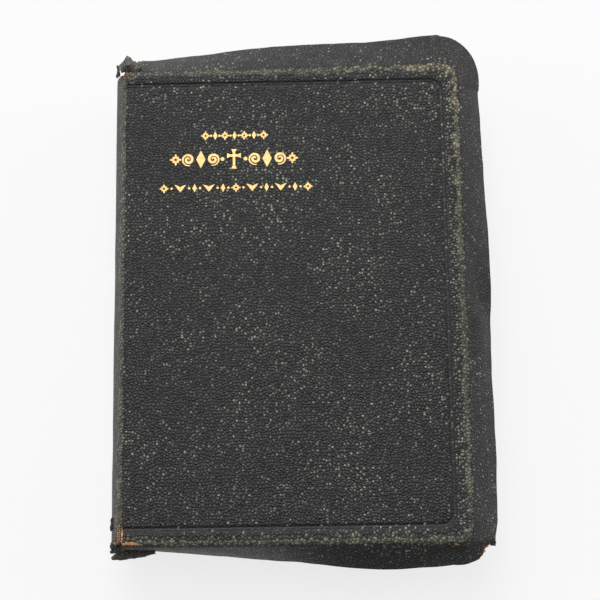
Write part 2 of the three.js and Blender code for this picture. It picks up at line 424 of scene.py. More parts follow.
    def _rub(self, p: Signal, q: Signal, s: Signal, patch: Signal, speck: Signal, chance: Signal) -> Signal:
        """Returns how far the black is rubbed off: speckled along the crests and the joint.

        Args:
            p: the place across the cover, from the joint.
            q: the place along it, from the middle.
            s: the distance past the board's crest.
            patch: the slow noise.
            speck: the quick noise.
            chance: each pebble's own.

        Returns:
            The rub, 0 to 1.
        """
        crest = s.peak(-0.4, 1.6).greatest(s.peak(-0.6, 2.8) * 0.62) * self.crest_wear
        joint = p.peak(-0.6, 1.3).greatest(p.peak(-3.0, 4.2) * 0.72) * self.joint_wear
        band = s.between(-4.6, -3.6) * s.between(1.4, 0.2) * 0.36
        tail = q.peak(-86.5, 2.6) * s.between(-4.0, 0.0) * 0.4 * self.crest_wear
        handled = (p + q * 0.009).peak(6.4, 0.6) * 0.4 * self.joint_wear
        edges = crest.greatest(joint).greatest(band).greatest(tail)
        place = edges.greatest(handled).greatest(self.overall_wear)
        grain = (chance - 0.5) * 0.9 + (speck - 0.5) * 1.9 + (patch - 0.5) * 2.1
        return ((place - 0.6) * 1.6 + grain).between(-0.1, 0.6) * place.between(0.05, 0.5)


@dataclass(frozen=True)
class GoldFinish:
    """Gold leaf stamped into leather, rubbed through here and there."""

    name: str = "stamped_gold"
    gold: Colour = (0.8, 0.5, 0.17)
    pale: Colour = (0.88, 0.62, 0.29)
    rubbed_through: Colour = (0.05, 0.045, 0.035)

    def material(self) -> bpy.types.Material:
        """Returns the gold's material."""
        r = Recipe(self.name)
        flat, _, _, _ = r.flat()
        shade = r.noise(flat, 0.9, 3.0)
        gone = r.noise(flat, 2.6, 2.0, 0.7).between(0.66, 0.72)
        leaf = r.mix(self.gold, self.pale, shade.between(0.35, 0.7))
        colour = r.mix(leaf, self.rubbed_through, gone)
        normal = r.bump(r.noise(flat, 3.0, 2.0), 0.05)
        metal = (1.0 - gone) * 0.55
        rough = gone * 0.2 + 0.42
        return r.finish({"Base Color": colour, "Metallic": metal, "Roughness": rough, "Normal": normal})


@dataclass(frozen=True)
class PaperFinish:
    """Plain paper with fibre, faint waviness and yellowing in clouds."""

    name: str
    sheet: Colour = (0.8, 0.73, 0.57)
    aged: Colour = (0.62, 0.5, 0.33)
    roughness: float = 0.85

    def material(self) -> bpy.types.Material:
        """Returns the paper's material."""
        r = Recipe(self.name)
        where = r.place()
        fibre = r.noise(where, 2400.0, 3.0, 0.7)
        cloud = r.noise(where, 28.0, 4.0, 0.6)
        colour = r.mix(self.sheet, self.aged, (cloud.between(0.35, 0.8) * 0.5 + fibre * 0.12).clamped())
        normal = r.bump(fibre * 0.35 + cloud * 0.65, 0.12)
        return r.finish({"Base Color": colour, "Roughness": self.roughness, "Normal": normal})


@dataclass(frozen=True)
class PageEdgeFinish:
    """The cut edges of many thin leaves, stained red and rubbed pale in streaks."""

    name: str = "page_edges"
    stain: Colour = (0.3, 0.035, 0.022)
    faded: Colour = (0.5, 0.2, 0.12)
    leaf_mm: float = 0.16

    def material(self) -> bpy.types.Material:
        """Returns the edge's material."""
        r = Recipe(self.name)
        where = r.place()
        squeeze = {0: where, 1: (60.0, 60.0, 5200.0)}
        stretch = r.node("ShaderNodeVectorMath", {"operation": "MULTIPLY"}, squeeze)
        leaves = r.noise(stretch.outputs[0], 1.0, 2.0, 0.7)
        cloud = r.noise(where, 90.0, 4.0, 0.6)
        colour = r.mix(self.stain, self.faded, (leaves * 0.7 + cloud * 0.8 - 0.5).clamped())
        return r.finish({"Base Color": colour, "Roughness": 0.72, "Normal": r.bump(leaves, self.leaf_mm)})


@dataclass(frozen=True)
class EndpaperFinish:
    """Black coated endpaper with a fine pressed grain."""

    name: str = "endpaper_black"
    ground: Colour = (0.022, 0.021, 0.02)
    scuffed: Colour = (0.075, 0.07, 0.06)
    cells_a_metre: float = 1500.0

    def material(self) -> bpy.types.Material:
        """Returns the endpaper's material."""
        r = Recipe(self.name)
        where = r.place()
        weave = r.out(r.cells(where, self.cells_a_metre, {"feature": "DISTANCE_TO_EDGE"}))
        cloud = r.noise(where, 45.0, 4.0, 0.6)
        colour = r.mix(self.ground, self.scuffed, (cloud.between(0.5, 0.8) * 0.8).clamped())
        rough = cloud * 0.2 + 0.55
        return r.finish({"Base Color": colour, "Roughness": rough, "Normal": r.bump(weave, 0.12)})


@dataclass(frozen=True)
class ClothFinish:
    """Open lining cloth, or the wound thread of an endband where stripes are asked for."""

    name: str
    thread: Colour = (0.66, 0.6, 0.46)
    second: Colour = (0.45, 0.38, 0.27)
    stripe_mm: float = 0.0
    weave: float = 7000.0  # how fast the threads follow each other, in radians a metre
    winding: float = 22.0  # the same for an endband's thread, in radians a millimetre

    def material(self) -> bpy.types.Material:
        """Returns the cloth's material."""
        r = Recipe(self.name)
        if self.stripe_mm:
            _, along, across, _ = r.flat()
            stripe = (along * (math.tau / self.stripe_mm)).sine().between(-0.15, 0.15)
            colour = r.mix(self.thread, self.second, stripe)
            fine = ((along + across * 0.3) * self.winding).sine()
            return r.finish({"Base Color": colour, "Roughness": 0.75, "Normal": r.bump(fine * 0.5, 0.12)})
        where = r.place()
        parts = r.node("ShaderNodeSeparateXYZ", inputs={0: where})
        warp, weft = ((r.out(parts, axis) * self.weave).sine() for axis in (1, 2))
        weave = (warp * weft * 0.5 + 0.5).clamped()
        colour = r.mix(self.second, self.thread, weave)
        return r.finish({"Base Color": colour, "Roughness": 0.9, "Normal": r.bump(weave, 0.15)})


@dataclass(frozen=True)
class BoardFinish:
    """Grey-brown binder's board with flecks of pulp."""

    name: str = "binders_board"
    pulp: Colour = (0.26, 0.21, 0.15)
    fleck: Colour = (0.12, 0.09, 0.06)

    def material(self) -> bpy.types.Material:
        """Returns the board's material."""
        r = Recipe(self.name)
        where = r.place()
        fleck = r.noise(where, 1600.0, 3.0, 0.7).between(0.58, 0.7)
        colour = r.mix(self.pulp, self.fleck, fleck)
        return r.finish({"Base Color": colour, "Roughness": 0.95, "Normal": r.bump(fleck, 0.1)})


# ---- The book's lines ----


@dataclass(frozen=True)
class Layout:
    """The book's main lines, read from the frame, in millimetres."""

    joint_x: float
    middle_y: float
    crest: float  # from the joint to the crest over the board's fore-edge
    half: float  # from the middle to the crest at the head or the tail
    top: float  # height of the front cover's face
    spine_out: float  # how far the spine's leather stands out past the joint line

    BOARD_INSET = 1.6
    JOINT_GAP = 0.3

    @classmethod
    def from_frame(cls) -> "Layout":
        """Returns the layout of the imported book."""
        low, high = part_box("front_board")
        leather_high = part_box("front_cover_leather")[1]
        spine_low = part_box("rear_middle_spine_leather")[0]
        joint = low.x / MM - cls.JOINT_GAP
        return cls(
            joint_x=joint,
            middle_y=(low.y + high.y) / 2 / MM,
            crest=high.x / MM + cls.BOARD_INSET - joint,
            half=(high.y - low.y) / 2 / MM + cls.BOARD_INSET,
            top=leather_high.z / MM,
            spine_out=joint - spine_low.x / MM,
        )

    def place(self, points: np.ndarray) -> np.ndarray:
        """Returns points of the book's own lines in the frame's metres."""
        return (np.asarray(points, float) + np.array([self.joint_x, self.middle_y, 0.0])) * MM


@dataclass
class Skin:
    """A sheet before it has a thickness: points, faces, flat coordinates and distance to a tear."""

    points: np.ndarray
    faces: list[Face]
    flat: np.ndarray
    tear: np.ndarray

    def normals(self) -> np.ndarray:
        """Returns each point's outward direction."""
        total = np.zeros_like(self.points)
        triangles = [(f[0], f[i], f[i + 1]) for f in self.faces for i in range(1, len(f) - 1)]
        t = np.array(triangles)
        start, second, third = (self.points[t[:, corner]] for corner in range(3))
        cross = np.cross(second - start, third - start)
        for corner in range(3):
            np.add.at(total, t[:, corner], cross)
        length = np.linalg.norm(total, axis=1, keepdims=True)
        return total / np.where(length < 1e-12, 1.0, length)

    def without(self, gone: np.ndarray) -> "Skin":
        """Returns the skin without the faces whose points are all marked, and without loose points."""
        faces = [f for f in self.faces if not all(gone[i] for i in f)]
        used = sorted({i for f in faces for i in f})
        place = {old: new for new, old in enumerate(used)}
        kept = [tuple(place[i] for i in f) for f in faces]
        return Skin(self.points[used], kept, self.flat[used], self.tear[used])

    def turn_towards(self, direction: np.ndarray) -> None:
        """Turns the faces over if they look away from a direction."""
        if self.normals().mean(axis=0) @ direction < 0:
            self.faces = [tuple(reversed(f)) for f in self.faces]


def open_edges(faces: Sequence[Face]) -> list[tuple[int, int]]:
    """Returns the edges that only one face uses, in that face's direction."""
    used = {(f[i], f[(i + 1) % len(f)]) for f in faces for i in range(len(f))}
    return [(a, b) for a, b in sorted(used) if (b, a) not in used]


def grid_faces(rows: int, columns: int) -> list[Face]:
    """Returns the faces between rows of points, each row that many columns long."""
    starts = [j * columns + i for j in range(rows - 1) for i in range(columns - 1)]
    return [(a, a + 1, a + 1 + columns, a + columns) for a in starts]


def unit(vectors: np.ndarray) -> np.ndarray:
    """Returns vectors at length 1."""
    return vectors / np.maximum(np.linalg.norm(vectors, axis=1, keepdims=True), TINY)


def run_along(points: np.ndarray) -> np.ndarray:
    """Returns how far along a line each of its points lies."""
    return np.concatenate([[0.0], np.cumsum(np.linalg.norm(np.diff(points, axis=0), axis=1))])


def sampled(places: np.ndarray, run: np.ndarray, values: Sequence) -> np.ndarray:
    """Returns values given along a line, read at other places along it."""
    table = np.array(values, float)
    return np.column_stack([np.interp(places, run, column) for column in table.T])


def solid_sheet(
    name: str,
    skin: Skin,
    thickness: float,
    layout: Layout,
    material: bpy.types.Material,
    bulge: np.ndarray,
) -> bpy.types.Object:
    """Gives a skin its thickness, inwards, with a rounded edge all round.

    Args:
        name: the piece's name.
        skin: its outer side.
        thickness: in millimetres.
        layout: the book's lines.
        material: the finish of both sides.
        bulge: how far the edge rounds out at each of the skin's points, in millimetres.

    Returns:
        The closed piece.
    """
    normals = skin.normals()
    count = len(skin.points)
    inner = skin.points - normals * thickness
    rim = open_edges(skin.faces)
    outward = np.zeros_like(skin.points)
    for a, b in rim:
        side = np.cross(skin.points[b] - skin.points[a], normals[a])
        outward[a] += side
        outward[b] += side
    rim_points = sorted({i for edge in rim for i in edge})
    middle_of = {i: 2 * count + n for n, i in enumerate(rim_points)}
    side = unit(outward[rim_points]) * bulge[rim_points][:, None]
    middle = (skin.points[rim_points] + inner[rim_points]) / 2 + side
    faces: list[Face] = list(skin.faces)
    faces += [tuple(i + count for i in reversed(f)) for f in skin.faces]
    for a, b in rim:
        faces.append((b, a, middle_of[a], middle_of[b]))
        faces.append((middle_of[b], middle_of[a], a + count, b + count))
    source = [*range(count), *range(count), *rim_points]
    points = np.vstack([skin.points, inner, middle])
    attributes = {"flat": skin.flat[source], "tear": skin.tear[source]}
    return make_piece(name, points, faces, layout, [material], attributes=attributes)


def make_piece(
    name: str,
    points: np.ndarray,
    faces: Sequence[Face],
    layout: Layout,
    materials: Sequence[bpy.types.Material],
    slots: Optional[Sequence[int]] = None,
    attributes: Optional[dict[str, np.ndarray]] = None,
    smooth: bool = True,
) -> bpy.types.Object:
    """Makes one mesh piece.

    Args:
        name: the piece's name.
        points: in millimetres on the book's lines.
        faces: the corners of each face.
        layout: the book's lines.
        materials: one for each slot.
        slots: each face's slot, or none for the first slot everywhere.
        attributes: values at the points, numbers or vectors.
        smooth: whether its faces are shaded smooth.

    Returns:
        The piece, linked to the scene.
    """
    mesh = bpy.data.meshes.new(name)
    mesh.from_pydata(layout.place(points).tolist(), [], [tuple(f) for f in faces])
    for material in materials:
        mesh.materials.append(material)
    if slots is not None:
        mesh.polygons.foreach_set("material_index", list(slots))
    mesh.polygons.foreach_set("use_smooth", [smooth] * len(mesh.polygons))
    for key, values in (attributes or {}).items():
        data = np.asarray(values, np.float32)
        kind, target = ("FLOAT_VECTOR", "vector") if data.ndim == 2 else ("FLOAT", "value")
        mesh.attributes.new(key, kind, "POINT").data.foreach_set(target, data.ravel())
    mesh.update()
    if smooth:
        mesh.set_sharp_from_angle(angle=math.radians(SHARP_DEGREES))
    piece = bpy.data.objects.new(name, mesh)
    bpy.context.scene.collection.objects.link(piece)
    return piece


def ripple(points: np.ndarray, size: float, seed: float) -> np.ndarray:
    """Returns smooth noise at points, about -1 to 1, with features of that size."""
    spots = [Vector((x / size + seed, y / size - seed, z / size)) for x, y, z in points]
    return np.array([noise.noise(spot) for spot in spots])


def spaced(low: float, high: float, step: float, fine: float, near: Sequence[Span]) -> np.ndarray:
    """Returns places from low to high, a step apart, and closer inside the spans given by near."""
    sample = np.linspace(low, high, SPACING_SAMPLES)
    density = np.full_like(sample, 1.0 / step)
    for start, end in near:
        density[(sample >= start) & (sample <= end)] = 1.0 / fine
    total = np.concatenate([[0.0], np.cumsum((density[1:] + density[:-1]) / 2 * np.diff(sample))])
    count = max(int(math.ceil(total[-1])), 2)
    return np.interp(np.linspace(0.0, total[-1], count + 1), total, sample)


# ---- Covers ----


class Side(Enum):
    """Which cover: the front one faces up, the back one faces down."""

    FRONT = 1
    BACK = -1


Track = tuple[Span, ...]


@dataclass(frozen=True)
class Cut:
    """A split in the leather's face that shows its suede, between two places laid flat."""

    start: Span
    end: Span
    width: float


@dataclass(frozen=True)
class Bite:
    """A place, laid flat, where the leather is torn away: an oval with its centre and half sizes."""

    x: float
    y: float
    along: float
    across: float


@dataclass(frozen=True)
class Swelling:
    """A place, laid flat, where the free flap stands out, or in where its height is negative."""

    x: float
    y: float
    along: float
    across: float
    height: float

    def at(self, flat: np.ndarray) -> np.ndarray:
        """Returns how far it lifts the leather at flat places."""
        away = ((flat[:, 0] - self.x) / self.along) ** 2 + ((flat[:, 1] - self.y) / self.across) ** 2
        return self.height * np.exp(-away)


FRONT_SWELLINGS = (
    Swelling(132.0, -12.0, 5.0, 10.0, 0.9),
    Swelling(133.5, 4.0, 5.0, 9.0, -1.5),
)
FRONT_CUTS = (
    Cut((0.2, -81.2), (0.3, -87.2), 1.7),
    Cut((-0.5, -86.9), (7.2, -87.1), 1.8),
    Cut((117.6, -88.6), (119.4, -89.4), 1.5),
    Cut((122.4, -87.2), (123.8, -87.9), 1.2),
    Cut((0.6, 84.6), (1.2, 87.5), 0.9),
    Cut((0.5, -61.5), (0.4, -80.5), 0.6),
)
FRONT_BITES = (
    Bite(138.4, -100.9, 8.5, 8.5),
    Bite(135.0, -93.2, 3.2, 3.0),
    Bite(-1.0, 99.0, 4.6, 8.4),
    Bite(-1.0, -98.0, 6.0, 7.6),
)


@dataclass(frozen=True)
class FlapShape:
    """How a cover's overhanging flap falls: degrees below level at places along each side.

    Head and tail are measured from the joint, the fore-edge from the head crest.
    """

    length: float
    head: Track
    fore: Track
    tail: Track
    wave: float  # degrees by which the fall wanders


FRONT_FLAP = FlapShape(
    length=15.0,
    head=(
        (0, 53), (10, 52), (28, 44), (47, 35), (65, 30), (79, 30), (88, 31), (100, 27), (110, 23), (119, 19),
    ),
    fore=(
        (0, 57), (8, 53), (25, 50), (45, 48), (70, 44), (87, 42), (97, 48), (120, 48), (140, 46), (170, 49),
    ),
    tail=((0, 90), (28, 80), (47, 73), (65, 67), (83, 56), (98, 52), (112, 56), (119, 60)),
    wave=0.7,
)
BACK_FLAP = FlapShape(
    length=13.0,
    head=((0, 84), (119, 76)),
    fore=((5, 72), (170, 72)),
    tail=((0, 90), (50, 88), (119, 76)),
    wave=1.2,
)


@dataclass
class Cover:
    """One cover: the leather with its flaps, the board and the pastedown."""

    layout: Layout
    side: Side
    flap: FlapShape
    leather: bpy.types.Material
    thickness: float = 1.0
    corner: float = 5.0
    grid: float = 0.95
    tooling: Tooling = field(default_factory=Tooling)
    cuts: tuple[Cut, ...] = ()
    bites: tuple[Bite, ...] = ()
    swellings: tuple[Swelling, ...] = ()
    head_spread: float = 0.0
    tail_spread: float = 0.0

    EDGE_BULGE = 0.25
    BEND = (-1.3, 2.6)  # where the leather turns down, from the crest
    BEND_SHARE, DROOP_SHARE, DROOP_FROM = 0.93, 0.17, 2.0  # the bend, and the droop beyond it
    STEEPEST = math.radians(96)
    CORNER_STEPS = 14
    FINE = 0.36  # the fine spacing as a share of the grid's
    FAR, INTACT = 9.0, 3.0  # distances that stand for no bite and no tear near

    @property
    def prefix(self) -> str:
        """Returns the word that the cover's CAD nodes start with."""
        return self.side.name.lower()

    def build(self) -> bpy.types.Object:
        """Makes the cover's leather, which stands for the CAD one, and rides on the cover's body."""
        skin = self._skin()
        name = f"{self.prefix}_leather"
        bulge = np.where(skin.flat[:, 0] < self.layout.JOINT_GAP + 0.01, 0.0, self.EDGE_BULGE)
        piece = solid_sheet(name, skin, self.thickness, self.layout, self.leather, bulge)
        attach(piece, f"{self.prefix}_cover")
        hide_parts(f"{self.prefix}_cover_leather")
        return piece

    def _edge_line(self, xs: np.ndarray, ys: np.ndarray) -> tuple[np.ndarray, ...]:
        """Returns the line that the border strips hang on, from the head of the joint to its tail.

        Args:
            xs: the inner grid's columns.
            ys: its rows.

        Returns:
            Base points, outward directions, grid indexes of the base points, and splay in radians.
        """
        columns, rows = len(xs), len(ys)
        base, angle, index, splay = [], [], [], []

        def add(i: int, j: int, direction: float, fall: float) -> None:
            base.append((xs[i], ys[j]))
            angle.append(direction)
            index.append(j * columns + i)
            splay.append(fall)

        def along(track: Track, place: float) -> float:
            return float(np.interp(place, [t[0] for t in track], [t[1] for t in track]))

        def corner(j: int, start: float, before: float, after: float) -> None:
            for n in range(1, self.CORNER_STEPS):
                t = n / self.CORNER_STEPS
                add(far, j, start - QUARTER * t, before * (1 - t) + after * t)

        flap, top, far = self.flap, rows - 1, columns - 1
        for i in range(columns):
            add(i, top, QUARTER, along(flap.head, xs[i]))
        corner(top, QUARTER, flap.head[-1][1], flap.fore[0][1])
        for j in range(top, -1, -1):
            add(far, j, 0.0, along(flap.fore, self.layout.half - ys[j]))
        corner(0, 0.0, flap.fore[-1][1], flap.tail[-1][1])
        for i in range(far, -1, -1):
            add(i, 0, -QUARTER, along(flap.tail, xs[i]))
        return np.array(base), np.array(angle), np.array(index), np.radians(np.array(splay))

    def _skin(self) -> Skin:
        """Returns the outer side of the leather, panel and flaps."""
        lay, corner = self.layout, self.corner
        fine_x = [(lay.JOINT_GAP, 5.0), (self.tooling.fore - 1.6, lay.crest - corner)]
        xs = spaced(lay.JOINT_GAP, lay.crest - corner, self.grid, self.grid * self.FINE, fine_x)
        rise = lay.half - corner
        fine_y = [(-rise, -rise + 1.8), (rise - 1.8, rise)]
        ys = spaced(-rise, rise, self.grid, self.grid * self.FINE, fine_y)
        near_crest = [(0.0, corner + self.BEND[1])]
        radial = spaced(0.0, corner + self.flap.length, self.grid * 0.8, self.grid * 0.45, near_crest)
        columns, rows, rings = len(xs), len(ys), len(radial)
        grid_x, grid_y = np.meshgrid(xs, ys)
        panel = np.column_stack([grid_x.ravel(), grid_y.ravel()])
        base, angle, index, splay = self._edge_line(xs, ys)
        splay = self._softened(base, angle, splay)
        outward = np.column_stack([np.cos(angle), np.sin(angle)])
        reach = self._reach(base, angle)
        from_crest = radial[1:] - corner
        s = np.where(from_crest > 0, from_crest[None, :] * reach[:, None], from_crest[None, :])
        droop = step_between(s, self.DROOP_FROM, self.flap.length)
        bend = step_between(s, *self.BEND) * self.BEND_SHARE + self.DROOP_SHARE * droop
        slope = np.minimum(splay[:, None] * bend, self.STEEPEST)
        gap = np.diff(np.concatenate([np.full((len(base), 1), -corner), s], axis=1), axis=1)
        out = np.cumsum(np.cos(slope) * gap, axis=1)
        drop = np.cumsum(np.sin(slope) * gap, axis=1)
        strip = base[:, None, :] + outward[:, None, :] * out[:, :, None]
        flat_strip = base[:, None, :] + outward[:, None, :] * (s + corner)[:, :, None]
        flat_xy = np.vstack([panel, flat_strip.reshape(-1, 2)])
        inside = -np.minimum(lay.crest - panel[:, 0], lay.half - np.abs(panel[:, 1]))
        crest_distance = np.concatenate([inside, s.ravel()])
        flat = np.column_stack([flat_xy, crest_distance])
        level = np.concatenate([np.zeros(len(panel)), -drop.ravel()])
        level += self._relief(flat)
        plan = self._spread(np.vstack([panel, strip.reshape(-1, 2)]))
        heights = lay.top + level if self.side is Side.FRONT else -level
        points = np.column_stack([plan, heights])
        faces = self._faces(columns, rows, rings, index)
        tear = self._tear(flat)
        skin = Skin(points, faces, flat, tear)
        skin.points = skin.points + skin.normals() * self._dents(flat)[:, None]
        bitten = self._bitten(flat)
        skin.tear = np.minimum(skin.tear, bitten - 0.06)
        return skin.without(bitten < 0)

    def _spread(self, plan: np.ndarray) -> np.ndarray:
        """Returns the plan with its border drawn outwards at the head's fore corner and along the tail."""
        x, y = plan[:, 0], plan[:, 1]
        start, end = self.layout.half - 4.0, self.layout.half - 0.5
        head = np.clip(x / self.layout.crest, 0.0, 1.0) ** 2 * step_between(y, start, end)
        tail = step_between(-y, start, end)
        return np.column_stack([x, y + self.head_spread * head - self.tail_spread * tail])

    def face_height(self, plan: np.ndarray) -> np.ndarray:
        """Returns the height of the panel's face at places on it."""
        flat = np.column_stack([plan, np.full(len(plan), -10.0)])
        return self.layout.top + self._relief(flat) + self._dents(flat)

    def _bitten(self, flat: np.ndarray) -> np.ndarray:
        """Returns each point's distance to the nearest bite, negative inside it."""
        nearest = np.full(len(flat), self.FAR)
        for bite in self.bites:
            across, along = (flat[:, 0] - bite.x) / bite.along, (flat[:, 1] - bite.y) / bite.across
            distance = (np.hypot(across, along) - 1.0) * min(bite.along, bite.across)
            nearest = np.minimum(nearest, distance + 0.7 * ripple(flat, 1.7, bite.x))
        return nearest

    def _softened(self, base: np.ndarray, angle: np.ndarray, splay: np.ndarray) -> np.ndarray:
        """Returns the splay with its kinks smoothed out and a slow wander added."""
        reach = 9
        kernel = np.hanning(2 * reach + 1)
        kernel /= kernel.sum()
        soft = np.convolve(np.pad(splay, reach, mode="edge"), kernel, mode="valid")
        spots = np.column_stack([base, angle * 8.0])
        return soft + math.radians(self.flap.wave) * ripple(spots, 17.0, 3.1 * self.side.value)

    def _reach(self, base: np.ndarray, angle: np.ndarray) -> np.ndarray:
        """Returns the share of the flap's length that is left at each place of the edge line."""
        spots = np.column_stack([base, angle * 5.0])
        return 1.0 + 0.018 * ripple(spots, 9.0, 11.0)

    def _relief(self, flat: np.ndarray) -> np.ndarray:
        """Returns the tooling and the board's edge showing through the leather."""
        if self.side is Side.BACK:
            return np.zeros(len(flat))
        on_panel = 1.0 - step_between(flat[:, 2], -1.6, 0.5)
        pressed = self.tooling.relief(flat[:, 0], flat[:, 1]) * on_panel
        return pressed - self.tooling.border_rise * on_panel

    def _dents(self, flat: np.ndarray) -> np.ndarray:
        """Returns how far the leather stands in or out of its even shape."""
        free = step_between(flat[:, 2], 0.5, 7.0)
        slow = ripple(flat * np.array([1, 1, 0.0]), 16.0, 5.0 + self.side.value)
        quick = ripple(flat * np.array([1, 1, 0.0]), 5.0, 9.0)
        dent = free * (slow * 0.3 + quick * 0.14)
        if self.side is Side.FRONT:
            dent += 0.06 * (1 - free) * quick
        return dent + sum(swelling.at(flat) for swelling in self.swellings)

    def _tear(self, flat: np.ndarray) -> np.ndarray:
        """Returns each point's distance to the nearest tear, negative inside it."""
        nearest = np.full(len(flat), self.INTACT)
        for cut in self.cuts:
            a, b, width = np.array(cut.start), np.array(cut.end), cut.width
            along = b - a
            t = np.clip(((flat[:, :2] - a) @ along) / max(along @ along, TINY), 0.0, 1.0)
            distance = np.linalg.norm(flat[:, :2] - (a + t[:, None] * along), axis=1)
            nearest = np.minimum(nearest, distance - width * (0.45 + 0.55 * np.sin(t * math.pi)) / 2)
        return nearest + 0.3 * ripple(flat, 0.8, 21.0) * (nearest < 2.0)

    def _faces(self, columns: int, rows: int, rings: int, index: np.ndarray) -> list[Face]:
        """Returns the faces of the panel grid and the border strips, facing out."""
        faces = grid_faces(rows, columns)
        start = rows * columns
        ring = rings - 1

        def at(k: int, r: int) -> int:
            return int(index[k]) if r == 0 else start + k * ring + r - 1

        for k in range(len(index) - 1):
            for r in range(ring):
                corners = (at(k, r), at(k, r + 1), at(k + 1, r + 1), at(k + 1, r))
                kept = tuple(dict.fromkeys(corners))
                faces.append(tuple(reversed(kept)))
        if self.side is Side.BACK:
            faces = [tuple(reversed(f)) for f in faces]
        return faces


# ---- Spine ----


@dataclass(frozen=True)
class SpineArc:
    """The round of the pages' backs, in the plane across the book."""

    centre_x: float
    centre_z: float
    pages: float  # radius of the pages' backs
    leather: float  # radius of the leather's outer side

    @classmethod
    def from_frame(cls, layout: Layout) -> "SpineArc":
        """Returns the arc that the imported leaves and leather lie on."""
        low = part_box("map_section")[0].z / MM
        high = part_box("presentation_section")[1].z / MM
        rise = layout.joint_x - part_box("turning_leaf")[0].x / MM
        half = (high - low) / 2
        radius = (half**2 + rise**2) / (2 * rise)
        centre = radius - rise
        return cls(centre, (low + high) / 2, radius, centre + layout.spine_out)

    def x_at(self, radius: float, z: np.ndarray) -> np.ndarray:
        """Returns where the arc of that radius lies at heights z."""
        return self.centre_x - np.sqrt(radius**2 - (np.asarray(z) - self.centre_z) ** 2)


def hinge_at(layout: Layout, joint: str) -> Vector:
    """Returns a joint's pivot on the book's own lines, in millimetres."""
    pivot = next(j["pos_m"] for j in frame["joints"] if j["name"] == joint)
    return Vector((pivot[0] / MM - layout.joint_x, pivot[1] / MM - layout.middle_y, pivot[2] / MM))


